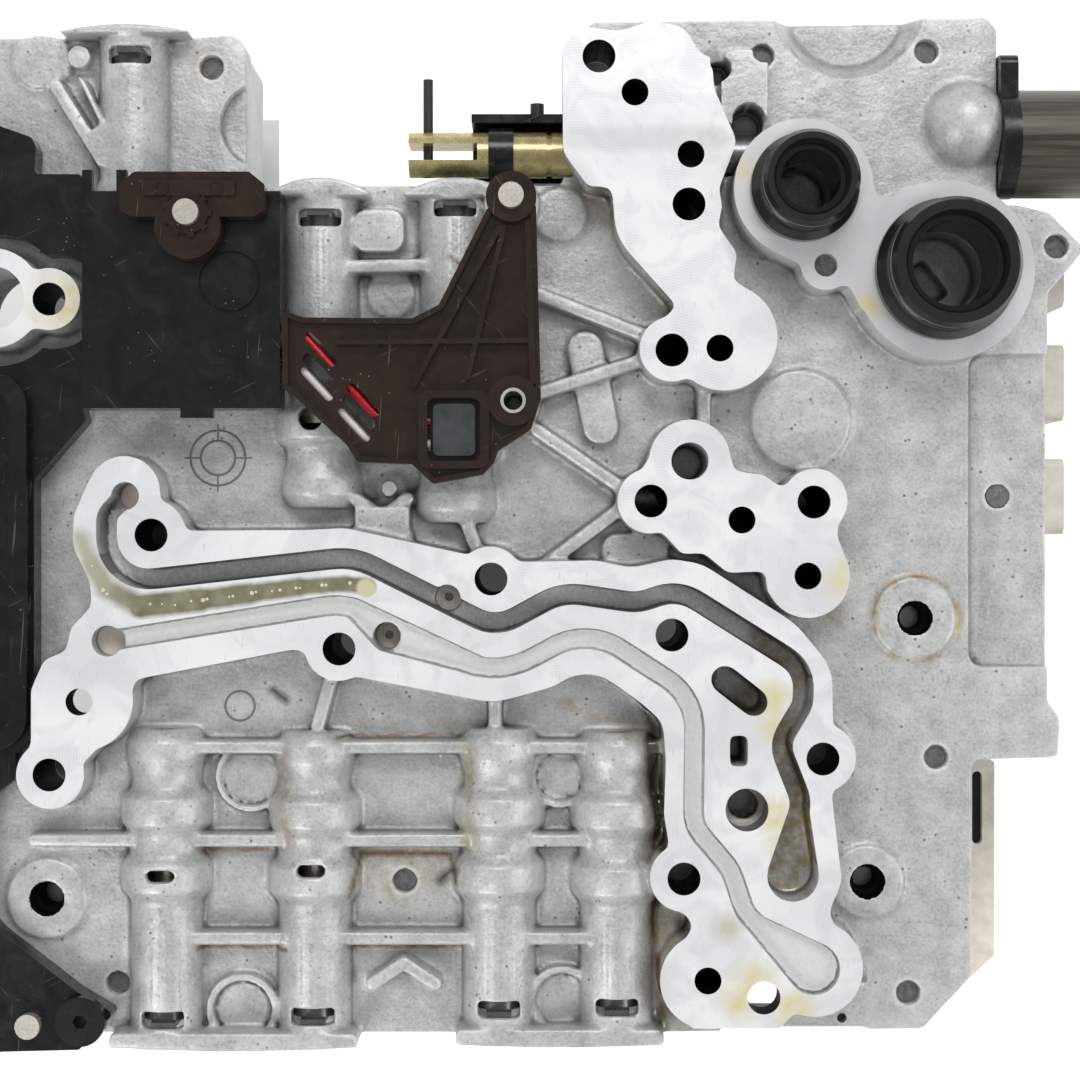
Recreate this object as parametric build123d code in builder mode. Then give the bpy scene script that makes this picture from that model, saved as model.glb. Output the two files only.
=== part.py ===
from build123d import *
import os
from math import atan2, degrees, hypot

os.makedirs("parts", exist_ok=True)

# Transmission mechatronic unit, lying on its underside. Millimetres, +Z is up, out of the sealing face.
# The origin is at the middle of the underside.

# Heights of the stack
regulator_r = 11.0
valve_plate_t = 20.0
separator_t = 1.0
web_t = 9.0
land_h = 10.0
regulator_sink = 2.0
regulator_gap = 3.1
valve_plate_z = 2 * regulator_r - regulator_sink
separator_z = valve_plate_z + valve_plate_t
web_z = separator_z + separator_t
floor_z = web_z + web_t
land_z = floor_z + land_h

# Bolt and dowel holes, channels
bolt_r = 3.3
dowel_r = 2.7
dowel_depth = 12.0
feed_depth = 5.0
lobe_r = 6.6
flange_t = 7.0
nook_r = 1.3
channel_w = 4.2
channel_depth = 9.0
shallow_depth = 2.2
port_depth = 15.0
insert_r = 2.7
insert_t = 2.0

# Valve bores
bore_r = 4.8
chamber_r = bore_r + 2.2
bore_floor_t = 1.5
bore_z = web_z + bore_floor_t + chamber_r
bore_wall_t = 1.6
spool_clear = 0.03
spool_neck_r = bore_r - 2.0
spring_r = bore_r - 0.6
spring_inner_r = bore_r - 1.8
spring_room = 14.0
plug_l = 5.0
clip_t = 1.2
clip_w = 5.0
clip_reach = bore_r - 1.0
clip_slot_w = 2 * bore_r - 1.0
clip_slot_l = 3.4
mouth_insets = {"a": 4.4, "b": 5.1, "c": 5.8, "d": 5.2, "e": 6.4, "f": 6.3, "g": 4.4}

# Screws
screw_r = 2.4
screw_head_r = 4.0
screw_head_h = 3.0
screw_sink = 5.0
screw_seat_z = valve_plate_z + screw_sink + screw_head_h

# Bridge seals
small_seal_r = 9.7
small_seal_bore_r = small_seal_r - 2.7
small_lobe_r = small_seal_r + 4.3
large_seal_r = 13.0
large_seal_bore_r = large_seal_r - 3.4
large_lobe_r = large_seal_r + 5.0
seal_h = 13.0
seal_seat_depth = 5.0
sleeve_t = 1.2

# Park piston and its solenoid
piston_r = 4.6
notch_y = 72.6
band_t = 1.0
piston_y = notch_y + 0.3 + band_t + piston_r
piston_z = web_z + piston_r + 2.9
band_gap = 0.6
piston_bore_end = 74.0
piston_tail = 54.0
pad_edge = 26.6
park_can_r = 11.0
park_can_y = 81.2
park_can_z = floor_z - 4.0
park_can_end = 155.0
plate_edge = 115.7
ring_t = 3.6
plunger_r = 2.4
plunger_reach = 4.0
dome_r = 8.4
dome_y = 83.8
dome_left = 102.6

# Control module
pin_r = 2.5
module_left = -146.0
connector_end = module_left - 9.0
connector_r = 17.0
connector_y = -33.0
connector_z = 30.0
connector_pin_l = 9.4
casting_left = -120.0
casting_step = -90.0
cover_wall = 2.0
cover_top = land_z + 4.0
cover_notch_z = bore_z + bore_r + 4.1
frame_h = 6.0
heat_plate_t = 4.0
arm_z = land_z
arm_t = 3.4
arm_rib_h = 2.4
arm_rim_h = 1.5
arm_rim_w = 1.1
lead_r = 1.0
sensor_t = 4.4

gap = 0.3


def write(builder, name):
    builder.part.label = name
    export_step(builder.part, f"parts/{name}.step")


# Plan positions on the sealing face
long_land_bolts = [(-55.8, 0.4), (-76.2, -47.6), (-18.2, -22.4), (12.2, -8.4), (48.4, -19.6), (78.6, -44.4),
                   (50.8, -68.4)]
open_bolt = (66.8, -92.2)
open_dowel = (-70.2, -33.0)
pad_bolts = [(33.8, 96.2), (51.8, 66.6), (48.4, 37.4)]
lobed_land_bolts = [(44.2, 7.2), (76.8, 7.0)]
end_land_bolt = (-76.2, 47.6)
bolts = long_land_bolts + pad_bolts + lobed_land_bolts + [end_land_bolt]
dowels = [(55.6, -88.8), (41.0, 89.0), (58.0, 37.8), (62.4, 3.4), (75.6, -7.8)]
feed_hole = (52.2, 76.6)
small_seal_at = (74.8, 69.8)
large_seal_at = (103.0, 53.4)
end_port_at = (-87.6, 47.8)
end_port_r = 6.4
screws = [(-45.3, 96.3), (67.5, 98.7), (101.2, 99.6), (127.9, 59.6), (116.2, 8.4), (103.2, -45.1),
          (97.5, -93.4), (-5.7, -70.4), (-64.5, -91.4)]
bosses = [(98.7, -16.6, 8.4), (89.0, -70.5, 7.4), (-78.9, -74.0, 8.2)]
land_screw = (79.2, 54.4)
discs = [(-80.1, 97.8, 5.9), (-8.5, 49.6, 4.9), (26.1, 66.0, 5.5), (75.3, 24.0, 10.2), (-37.0, -48.8, 5.5),
         (26.1, -48.8, 4.5), (-38.7, -96.5, 5.1), (26.5, -94.5, 4.9), (-10.0, 3.9, 3.6), (-8.7, 9.9, 2.9)]
posts = [(-71.9, 97.8, 2.3), (-8.7, 9.9, 1.6)]
# Raised pads on the floor: x, y, length, width, height
pads = [(-10.8, 62.3, 10.4, 8.6, 4.0), (41.4, -2.6, 13.4, 6.6, 1.6), (63.6, 91.2, 9.6, 15.4, 4.6)]
pad_corner_r = 3.0
ridge = ((31.2, 38.4), (34.4, 22.6))
ridge_w = 7.2
arches = [(-38.7, -96.5, 7.4, 6.0), (26.5, -94.5, 7.0, 5.6), (-37.0, -48.8, 7.2, 6.2), (26.1, -48.8, 6.4, 5.2)]
gallery_holes = [(-24.1, 24.0, 2.5), (64.4, 84.7, 3.3), (58.4, 95.0, 2.4), (52.0, 15.2, 3.8)]
scallop = (-34.8, 84.4, 8.8)
ribs = [((21.6, 49.3), (43.0, 41.0)), ((22.2, 29.4), (43.0, 36.0)), ((21.4, 21.7), (40.0, 9.0)),
        ((22.0, -6.5), (40.0, 7.0)), ((55.3, 31.0), (55.3, 21.0)), ((-20.0, -27.0), (-23.1, -38.4)),
        ((12.9, -31.0), (12.9, -40.2)), ((-76.3, 91.6), (-66.7, 76.3)), ((-71.6, 92.0), (-64.6, 78.0)),
        ((-20.2, 54.8), (-0.3, 55.2)), ((-15.0, 0.2), (-5.0, 7.8)), ((-15.2, 7.6), (-5.2, 0.4)),
        ((6.4, 4.6), (8.8, -1.6)), ((-12.0, -90.6), (-5.6, -86.4)), ((-5.6, -86.4), (0.8, -90.6)),
        ((-50.1, -42.6), (-28.8, -42.6)), ((-19.6, -42.6), (9.8, -42.6)), ((18.0, -42.6), (46.4, -42.6)),
        ((-80.5, -61.5), (-60.2, -61.5)), ((-50.1, -61.5), (-28.8, -61.5)), ((-19.6, -61.5), (9.8, -61.5)),
        ((17.9, -61.5), (34.2, -61.5)), ((-50.1, -81.4), (-28.0, -81.4)), ((-20.0, -81.4), (9.8, -81.4)),
        ((17.9, -81.4), (34.2, -81.4))]
rib_w = 2.6
rib_h = 5.0

# Valve bores: x of the axis, y of the mouth, y of the blind end, side the mouth faces
lower_bores = {"a": (-54.3, -103.8, -39.0, -1), "b": (-24.0, -103.8, -39.6, -1), "c": (13.7, -103.0, -39.0, -1),
               "d": (37.6, -102.0, -39.6, -1)}
upper_bores = {"e": (-61.0, 105.6, 66.0, 1), "f": (-22.6, notch_y, 6.0, 1), "g": (4.8, notch_y, 3.0, 1)}
bores = {**lower_bores, **upper_bores}
end_r = bore_r + bore_wall_t
bulge_r = end_r + 1.8
neck_r = end_r + 0.8
chamber_wall_r = chamber_r + 2.4
tube_r = end_r + 1.0
long_wall = [(0, end_r), (2.5, bulge_r), (6, bulge_r), (9, neck_r), (12, neck_r), (14, chamber_wall_r),
             (19, chamber_wall_r), (21.5, tube_r + 0.2), (25.5, tube_r + 0.2), (27.5, chamber_wall_r),
             (32.5, chamber_wall_r), (35, tube_r)]
short_wall = [(0, end_r), (2, bulge_r - 0.2), (5, bulge_r - 0.2), (7, tube_r - 0.4)]
long_chambers = [(14.5, 18.5), (28.0, 32.0)]
bore_ports = [(-54.4, -68.3), (-24.1, -67.3)]

channel_a = [(-61.0, 8.2, 0), (-64.7, 4.4, 3), (-64.7, -9.4, 8.4), (-15.3, -3.9, 14), (13.2, -18.2, 8.2),
             (26.4, -11.0, 12), (41.6, -13.2, 9), (49.7, -10.4, 9), (74.8, -26.2, 7), (74.6, -33.4, 5),
             (69.8, -41.4, 6), (74.2, -52.6, 6), (73.8, -55.0, 0)]
channel_b = [(-64.6, -20.8, 0), (-17.1, -13.2, 12), (12.9, -28.2, 16), (31.6, -18.2, 13), (53.0, -32.0, 12),
             (52.7, -57.8, 7), (60.2, -66.6, 9), (63.0, -75.0, 6), (65.4, -77.6, 0)]
pool_a = (72.6, -67.8, 5.2)
pool_b = (76.8, -86.4, 5.3)
ports = [(-61.0, 8.2, 2.8), (-64.6, -20.8, 3.1)]
# Widening of the shallow channel beside its insert: x, y, radius
widening = [(-15.6, -14.0, 2.1), (-8.8, -20.0, 3.0), (10.0, -25.9, 2.1)]
insert_a = (3.4, -12.2)
insert_b = (-8.8, -20.0)


def bar(a, b, width):
    """Rib plan between two points, with round ends, in the sketch under way."""
    length = hypot(b[0] - a[0], b[1] - a[1])
    turn = degrees(atan2(b[1] - a[1], b[0] - a[0]))
    with Locations(((a[0] + b[0]) / 2, (a[1] + b[1]) / 2)):
        SlotCenterToCenter(length, width, rotation=turn)


def rounded(points, radius, inset=0.0):
    """Closed plan with round corners, of one radius or one for each, drawn in by inset."""
    with BuildSketch(Plane.XY, mode=Mode.PRIVATE) as plan:
        with BuildLine():
            FilletPolyline(*points, radius=radius, close=True)
        make_face()
        if inset:
            offset(amount=-inset, kind=Kind.INTERSECTION)
    return plan.sketch


casting_points = [
    (casting_left, 103.0), (-38.3, 103.0), (-38.3, 72.0), (pad_edge, 72.0), (pad_edge, 99.8), (33.0, 105.6),
    (113.6, 106.6), (plate_edge, 104.0), (plate_edge, 68.2), (120.5, 68.0), (126.5, 66.5), (133.8, 59.0), (126.1, 50.0),
    (126.1, -33.6), (128.6, -37.0), (128.4, -45.2), (110.6, -45.7), (110.4, -90.2), (100.5, -100.8),
    (46.8, -101.6), (casting_step, -101.6), (casting_step, 38.0), (casting_left, 38.0)]
casting_radii = [1.6, 3.8] + [1.6] * (len(casting_points) - 2)
casting_plan = rounded(casting_points, casting_radii)


def channel_plan(path, pool):
    """Plan of an open channel: a band through points given as (x, y, bend radius), widening into a round pool."""
    with BuildSketch(Plane.XY, mode=Mode.PRIVATE) as taper:
        with Locations(path[-1][:2]):
            Circle(channel_w / 2)
        with Locations(pool[:2]):
            Circle(pool[2])
        make_hull()
    with BuildSketch(Plane.XY, mode=Mode.PRIVATE) as plan:
        with BuildLine():
            FilletPolyline(*[(x, y) for x, y, r in path], radius=[r for x, y, r in path[1:-1]])
        trace(line_width=channel_w)
        add(taper.sketch)
    return plan.sketch


def land_plan(corners, lobes):
    """Plan of a milled land: corners as (x, y, radius) joined to round lobes, with the nooks between them rounded."""
    with BuildSketch(Plane.XY, mode=Mode.PRIVATE) as plan:
        with BuildLine():
            FilletPolyline(*[(x, y) for x, y, r in corners], radius=[r for x, y, r in corners], close=True)
        make_face()
        for x, y, r in lobes:
            with Locations((x, y)):
                Circle(r)
        offset(amount=nook_r)
        offset(amount=-nook_r)
    return plan.sketch


long_land = land_plan(
    [(-61.2, 13.4, 0.1), (-56.0, 3.4, 0.1), (-56.0, 1.2, 0.1), (-24.4, 1.4, 12), (-17.0, 1.8, 10),
     (6.8, -3.4, 1.5), (12.0, -6.6, 0.1), (18.2, -5.0, 1.2), (33.2, -4.7, 10), (40.4, -6.2, 8),
     (48.4, -4.4, 8), (54.4, -5.4, 10), (73.2, -17.4, 16), (80.4, -26.2, 10), (80.6, -38.2, 0.5),
     (78.4, -44.2, 0.1), (80.2, -50.6, 1.5), (82.4, -69.0, 6), (79.8, -75.0, 1.8), (81.2, -78.6, 1),
     (77.0, -86.4, 0.1), (72.0, -96.2, 2), (70.0, -98.3, 0.5), (52.0, -98.3, 0.5), (55.6, -88.8, 0.1),
     (50.8, -81.0, 1), (52.8, -77.6, 2.0), (50.4, -74.8, 1.2), (50.8, -68.2, 0.1), (45.0, -65.8, 0.6),
     (48.0, -62.6, 1.2), (46.8, -55.6, 6), (47.2, -44.6, 8), (46.6, -37.0, 5), (42.0, -33.0, 4),
     (36.4, -29.0, 5), (31.4, -26.0, 9), (24.4, -30.0, 9), (12.8, -33.2, 14), (-14.4, -28.0, 3),
     (-18.4, -24.6, 0.1), (-25.4, -23.0, 1), (-27.0, -22.4, 2), (-58.6, -28.4, 1.8), (-59.8, -30.6, 2),
     (-64.0, -38.6, 0.1), (-67.6, -43.4, 1.2), (-69.2, -45.0, 1.2), (-76.0, -47.6, 0.1), (-79.8, -42.2, 2),
     (-79.8, -30.6, 3), (-77.2, -24.6, 3), (-72.8, -22.8, 2), (-71.8, -18.2, 3), (-67.6, -13.8, 3),
     (-68.0, -9.0, 5), (-71.6, -1.6, 8), (-71.2, 4.4, 6), (-68.0, 11.8, 2)],
    [(-61.2, 9.0, 7.2), (-56.0, 0.4, 7.2), (12.0, -8.4, 6.5), (78.4, -44.2, 6.8), (77.0, -86.4, 9.6),
     (50.8, -68.2, 6.8), (55.6, -88.8, 9.6), (-18.4, -22.2, 6.6), (-69.6, -32.6, 10.2),
     (-76.0, -47.6, 6.8)])
pad_land = land_plan(
    [(26.6, 102.6, 5.5), (38.0, 101.2, 2.5), (44.4, 103.3, 6), (50.8, 102.0, 4), (54.0, 96.8, 1.2),
     (56.4, 95.8, 0.8), (56.8, 89.8, 2.4), (61.4, 79.2, 4), (57.8, 69.8, 2), (58.4, 66.2, 1.5),
     (57.6, 62.2, 1.5), (61.4, 56.8, 3), (60.6, 51.4, 1.6), (66.0, 48.0, 0.5), (61.0, 39.4, 0.3),
     (52.4, 32.6, 0.3), (48.4, 37.6, 0.3), (44.4, 41.4, 0.5), (49.4, 46.2, 1.2), (37.2, 59.8, 12),
     (36.4, 70.0, 2), (31.6, 70.2, 2), (26.6, 77.0, 5)],
    [(48.4, 37.6, 6.5), (58.8, 40.0, 10.7)])
seal_land = land_plan(
    [(74.8, 69.0, 0.3), (87.6, 74.2, 0.3), (89.4, 68.0, 1.0), (103.2, 67.8, 0.3), (103.2, 47.4, 0.3),
     (86.2, 45.8, 0.3), (83.8, 50.4, 0.3), (79.2, 50.2, 0.3), (74.0, 54.6, 0.3), (68.4, 57.2, 0.3)],
    [(*small_seal_at, small_lobe_r), (*large_seal_at, large_lobe_r), (*land_screw, 5.0)])
lobed_land = land_plan(
    [(43.8, 15.8, 0.5), (52.0, 17.4, 0.1), (60.2, 15.8, 0.5), (61.0, 13.2, 1.2), (66.8, 12.4, 2.5),
     (69.8, 10.2, 1.5), (77.0, 9.4, 0.1), (82.0, 5.8, 0.5), (81.4, 0.2, 3), (83.4, -5.0, 0.5),
     (75.6, -7.8, 0.1), (67.6, -11.4, 0.5), (67.2, -6.8, 1.4), (59.6, -7.2, 3), (54.8, -3.2, 2),
     (50.4, -3.4, 2), (46.8, 0.6, 1.4), (44.0, 3.4, 0.1), (41.2, 11.4, 0.1)],
    [(52.0, 15.4, 8.1), (77.0, 7.2, 6.5), (75.6, -7.8, 8.4), (44.0, 7.2, 6.5)])
end_land = land_plan(
    [(-88.0, 53.0, 0.5), (-76.0, 53.5, 0.5), (-76.0, 41.7, 0.5), (-88.0, 42.0, 0.5)],
    [(*end_port_at, 10.0), (*end_land_bolt, 6.2)])


def bore_plane(bore):
    """Plane whose X runs from the blind end to the mouth and whose Z is up."""
    x, mouth, blind, side = bore
    return Plane(origin=(x, blind, bore_z), x_dir=(0, side, 0), z_dir=(0, 0, 1))


def bore_axis(bore):
    x, mouth, blind, side = bore
    return Axis((x, blind, bore_z), (0, side, 0))


def bore_length(bore):
    return abs(bore[1] - bore[2])


def turned(bore, stations, inner=0.0):
    """Half profile of a body of revolution along a valve bore, from (distance, radius) stations."""
    first, last = stations[0], stations[-1]
    with BuildSketch(bore_plane(bore), mode=Mode.PRIVATE) as half:
        with BuildLine():
            Polyline((first[0], inner), *stations, (last[0], inner), close=True)
        make_face()
    return half.sketch


def wall_stations(bore):
    wall = short_wall if bore == bores["e"] else long_wall
    return wall + [(bore_length(bore) - 0.5, wall[-1][1])]


def bore_stations(bore):
    """The bored hole: plain at both ends, with wider chambers between."""
    stations = [(3.0, bore_r)]
    if bore != bores["e"]:
        for start, end in long_chambers:
            stations += [(start, bore_r), (start, chamber_r), (end, chamber_r), (end, bore_r)]
    return stations + [(bore_length(bore) + 1.0, bore_r)]


# Seats of the sensor arm's two bosses: x, y, radius
arm_seats = [(16.3, 67.2, 5.5), (16.7, 26.9, 5.2)]
arm_seat_z = floor_z + 7.4

# Pin and screw of the module's foot
foot_pins = [(-81.1, -98.5)]
foot_screws = [(-70.5, -97.5)]
foot_hole_depth = 3.0

# Mouth flanges of the bores: low x, high x, y of the outer face, side it faces, radius of that face in plan
flange_depth = 3.7
flanges = [(-64.9, -15.0, -103.8, -1, 400.0), (5.0, 47.0, -103.0, -1, 400.0), (-76.0, -47.8, 105.6, 1, 30.0),
           (-33.6, -11.6, notch_y, 1, 18.0), (-6.2, 17.0, notch_y, 1, 20.0)]
flange_top = bore_z + bore_r + 2.8

# Channel plate: web, lands, bore walls, ribs and bosses, then every opening
with BuildPart() as channel_plate:
    with BuildSketch(Plane.XY.offset(web_z)):
        add(casting_plan)
    extrude(amount=web_t)
    with BuildSketch(Plane.XY.offset(floor_z - 1)):
        for land in (long_land, pad_land, seal_land, lobed_land, end_land):
            add(land)
    extrude(amount=land_h + 1)
    with BuildSketch(Plane.XY.offset(floor_z - 1)):
        for a, b in ribs:
            bar(a, b, rib_w)
    extrude(amount=rib_h + 1)
    with BuildSketch(Plane.XY.offset(floor_z - 1)):
        for x, y, r in discs + bosses:
            with Locations((x, y)):
                Circle(r)
    extrude(amount=2.0)
    with BuildSketch(Plane.XY.offset(floor_z - 1)):
        for x, y, r in posts:
            with Locations((x, y)):
                Circle(r)
    extrude(amount=4.0)
    with BuildSketch(Plane.XY.offset(floor_z - 1)):
        for x, y, outer, inner in arches:
            with Locations((x, y)):
                Circle(outer)
                Circle(inner, mode=Mode.SUBTRACT)
    extrude(amount=3.2)
    for x, y, length, width, height in pads:
        with BuildSketch(Plane.XY.offset(floor_z - 1)):
            with Locations((x, y)):
                RectangleRounded(length, width, pad_corner_r)
        extrude(amount=height + 1)
    with BuildSketch(Plane.XY.offset(floor_z - 1)):
        bar(*ridge, ridge_w)
    extrude(amount=3.4)
    # Bulge of the casting over the park solenoid's nose
    with BuildPart(mode=Mode.PRIVATE) as dome:
        with BuildSketch(Plane.XZ.offset(-dome_y)):
            with BuildLine():
                Polyline((dome_left, park_can_z), (dome_left, park_can_z + dome_r - 3.0),
                         (dome_left + 3.0, park_can_z + dome_r), (plate_edge, park_can_z + dome_r),
                         (plate_edge, park_can_z), close=True)
            make_face()
        revolve(axis=Axis((dome_left, dome_y, park_can_z), (1, 0, 0)))
        with BuildSketch(Plane.XY.offset(web_z)):
            Rectangle(2 * 160, 2 * 120)
        extrude(amount=-20, mode=Mode.SUBTRACT)
    add(dome.part)
    with BuildSketch(Plane.XY.offset(floor_z - 1)):
        for x, y, r in arm_seats:
            with Locations((x, y)):
                Circle(r)
    extrude(amount=arm_seat_z - floor_z + 1)
    for low, high, y, side, face_r in flanges:
        with BuildSketch(Plane.XY.offset(web_z)):
            with Locations(((low + high) / 2, y - side * face_r)):
                Circle(face_r)
            with Locations(((low + high) / 2, y - side * flange_depth / 2)):
                RectangleRounded(high - low, flange_depth, 1.2, mode=Mode.INTERSECT)
        extrude(amount=flange_top - web_z)
    with BuildPart(mode=Mode.PRIVATE) as walls:
        for bore in bores.values():
            revolve(profiles=turned(bore, wall_stations(bore)), axis=bore_axis(bore))
        with BuildSketch(Plane.XY.offset(web_z)):
            Rectangle(2 * 160, 2 * 120)
        extrude(amount=-20, mode=Mode.SUBTRACT)
        with BuildSketch(Plane.XY.offset(arm_z - gap)):
            Rectangle(2 * 160, 2 * 120)
        extrude(amount=20, mode=Mode.SUBTRACT)
    add(walls.part)
    # Openings
    for bore in bores.values():
        revolve(profiles=turned(bore, bore_stations(bore)), axis=bore_axis(bore), mode=Mode.SUBTRACT)
    with BuildSketch(Plane.XY.offset(bore_z)):
        for letter, (x, mouth, blind, side) in bores.items():
            with Locations((x, mouth - side * (mouth_insets[letter] + clip_slot_l / 2))):
                Rectangle(clip_slot_w, clip_slot_l)
        with Locations(*bore_ports):
            SlotOverall(5.8, 2.4)
    extrude(amount=20, mode=Mode.SUBTRACT)
    with BuildSketch(Plane.XY.offset(web_z)):
        with Locations(*bolts):
            Circle(bolt_r)
        with Locations(open_bolt):
            Circle(bolt_r)
        with Locations(open_dowel):
            Circle(dowel_r)
        with Locations(end_port_at):
            Circle(end_port_r)
    extrude(amount=40, mode=Mode.SUBTRACT)
    with BuildSketch(Plane.XY.offset(land_z)):
        with Locations(*dowels):
            Circle(dowel_r)
    extrude(amount=-dowel_depth, mode=Mode.SUBTRACT)
    with BuildSketch(Plane.XY.offset(land_z)):
        with Locations(feed_hole):
            Circle(dowel_r)
    extrude(amount=-feed_depth, mode=Mode.SUBTRACT)
    with BuildSketch(Plane.XY.offset(land_z)):
        add(channel_plan(channel_a, pool_a))
    extrude(amount=-channel_depth, mode=Mode.SUBTRACT)
    with BuildSketch(Plane.XY.offset(land_z)):
        add(channel_plan(channel_b, pool_b))
    extrude(amount=-shallow_depth, mode=Mode.SUBTRACT)
    with BuildSketch(Plane.XY.offset(land_z)):
        for x, y, r in widening:
            with Locations((x, y)):
                Circle(r)
        make_hull()
    extrude(amount=-shallow_depth, mode=Mode.SUBTRACT)
    with BuildSketch(Plane.XY.offset(land_z)):
        for x, y, r in ports:
            with Locations((x, y)):
                Circle(r)
    extrude(amount=-port_depth, mode=Mode.SUBTRACT)
    with BuildSketch(Plane.XY.offset(land_z)):
        with Locations(insert_a, insert_b):
            Circle(insert_r)
    extrude(amount=-channel_depth - insert_t, mode=Mode.SUBTRACT)
    with BuildSketch(Plane.XY.offset(land_z)):
        with Locations((61.9, -30.8)):
            SlotCenterToCenter(7.4, 5.6, rotation=-38)
        with Locations((61.8, -42.8)):
            Rectangle(3.6, 6.2)
    extrude(amount=-14, mode=Mode.SUBTRACT)
    with Locations((63.4, -54.6, land_z)):
        CounterBoreHole(2.8, 4.3, 8.0, depth=25)
    with BuildSketch(Plane.XY.offset(land_z)):
        with Locations(small_seal_at):
            Circle(small_seal_r)
        with Locations(large_seal_at):
            Circle(large_seal_r)
    extrude(amount=-seal_seat_depth, mode=Mode.SUBTRACT)
    with BuildSketch(Plane.XY.offset(land_z)):
        with Locations(small_seal_at):
            Circle(small_seal_bore_r - sleeve_t)
        with Locations(large_seal_at):
            Circle(large_seal_bore_r - sleeve_t)
    extrude(amount=-seal_seat_depth - 9, mode=Mode.SUBTRACT)
    with BuildSketch(Plane.XY.offset(land_z)):
        with Locations((large_seal_at[0] - 2.2, large_seal_at[1] - 1.8)):
            RectangleRounded(8.0, 9.0, 1.0, rotation=38)
    extrude(amount=-seal_seat_depth - 12, mode=Mode.SUBTRACT)
    for x, y, r in bosses:
        with Locations((x, y, floor_z + 1)):
            CounterBoreHole(2.4, 3.5, 4.0, depth=15)
    for x, y, r in gallery_holes:
        with Locations((x, y, land_z)):
            Hole(r, depth=land_z - floor_z + 6.0)
    with BuildSketch(Plane.XY.offset(web_z)):
        with Locations(*screws, land_screw):
            Circle(screw_r)
    extrude(amount=land_z - web_z, mode=Mode.SUBTRACT)
    # Underside of the two holes that daylight shows through
    with BuildSketch(Plane.XY.offset(web_z)):
        with Locations((74.0, -96.0)):
            Rectangle(30.0, 16.0)
        with Locations(open_dowel):
            Circle(6.0)
    extrude(amount=land_z - flange_t - web_z, mode=Mode.SUBTRACT)
    # Side panel recess, pocket at the top edge, and the park piston's bore
    with BuildSketch(Plane.XY.offset(floor_z)):
        with Locations((119.0, 5.5)):
            RectangleRounded(18.0, 64.0, 2.5)
        with BuildLine():
            FilletPolyline((70.5, 110.0), (74.0, 99.0), (79.6, 96.0), (91.6, 96.0), (97.0, 99.5), (100.0, 110.0),
                           radius=1.5, close=True)
        make_face()
        with Locations(scallop[:2]):
            Circle(scallop[2])
    extrude(amount=-2.0, mode=Mode.SUBTRACT)
    with BuildSketch(Plane.YZ.offset(pad_edge - 1)):
        with Locations((piston_y, piston_z)):
            Circle(piston_r + spool_clear)
    extrude(amount=piston_bore_end - pad_edge + 1, mode=Mode.SUBTRACT)
    with BuildSketch(Plane.YZ.offset(plate_edge + 1)):
        with Locations((park_can_y, park_can_z)):
            Circle(plunger_r + gap)
    extrude(amount=-plunger_reach - 6, mode=Mode.SUBTRACT)
    for x, y, r in arm_seats:
        with Locations((x, y, arm_seat_z)):
            Hole(pin_r + 0.05, depth=8.0)
    for x, y in foot_pins + foot_screws:
        with Locations((x, y, floor_z)):
            Hole(pin_r + 0.05, depth=foot_hole_depth)
write(channel_plate, "channel_plate")

# Separator plate and valve plate follow the casting, clear of the two open holes
lower_plan = rounded(casting_points, casting_radii, inset=0.6)
with BuildSketch(Plane.XY, mode=Mode.PRIVATE) as lower_openings:
    with Locations(*bolts):
        Circle(bolt_r + 0.2)
    with Locations(end_port_at):
        Circle(end_port_r + 3.0)
    with Locations((76.0, -98.0)):
        Rectangle(34.0, 20.0)
    with Locations((-76.0, -36.0)):
        RectangleRounded(27.9, 18.0, 3.0)
with BuildPart() as separator_plate:
    with BuildSketch(Plane.XY.offset(separator_z)):
        add(lower_plan)
        add(lower_openings.sketch, mode=Mode.SUBTRACT)
        with Locations(*screws, land_screw):
            Circle(screw_r + 0.1, mode=Mode.SUBTRACT)
    extrude(amount=separator_t)
write(separator_plate, "separator_plate")

# Pressure regulators lie along X under the valve plate, in a block that both rows plug into
regulator_pitch = 2 * regulator_r + regulator_gap
regulator_mid_y = 34.1
regulator_ys = [regulator_mid_y + regulator_pitch, regulator_mid_y, regulator_mid_y - regulator_pitch]
block_left, block_right = 50.0, 78.0
block_width = 2 * regulator_pitch + 2 * regulator_r + 1.8
clamp_bottom = 5.0
nose_r = 6.0
nose_l = 10.0
can_l = 46.0
head_l = 13.0
groove_at = 12.0
groove_w = 2.0
groove_r = regulator_r - 1.4
with BuildPart() as valve_plate:
    with BuildSketch(Plane.XY.offset(valve_plate_z)):
        add(lower_plan)
        add(lower_openings.sketch, mode=Mode.SUBTRACT)
    extrude(amount=valve_plate_t)
    with BuildSketch(Plane.XY.offset(valve_plate_z)):
        with Locations(((block_left + block_right) / 2, regulator_mid_y)):
            RectangleRounded(block_right - block_left, block_width, 4.0)
    extrude(amount=-valve_plate_z + 2.0)
    with BuildSketch(Plane.YZ.offset(block_left)):
        with Locations(*[(y, regulator_r) for y in regulator_ys]):
            Circle(nose_r)
    extrude(amount=block_right - block_left, mode=Mode.SUBTRACT)
    with BuildSketch(Plane.YZ.offset(block_right)):
        with Locations(*[(y, regulator_r) for y in regulator_ys]):
            Circle(regulator_r + gap)
    extrude(amount=70, mode=Mode.SUBTRACT)
    with BuildSketch(Plane.YZ.offset(block_left)):
        with Locations(*[(y, regulator_r) for y in regulator_ys]):
            Circle(regulator_r + gap)
    extrude(amount=-70, mode=Mode.SUBTRACT)
    for x, y in screws + [land_screw]:
        with Locations(Location((x, y, valve_plate_z), (180, 0, 0))):
            CounterBoreHole(screw_r + 0.1, screw_head_r + 0.3, screw_sink + screw_head_h, depth=valve_plate_t)
write(valve_plate, "valve_plate")

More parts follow.
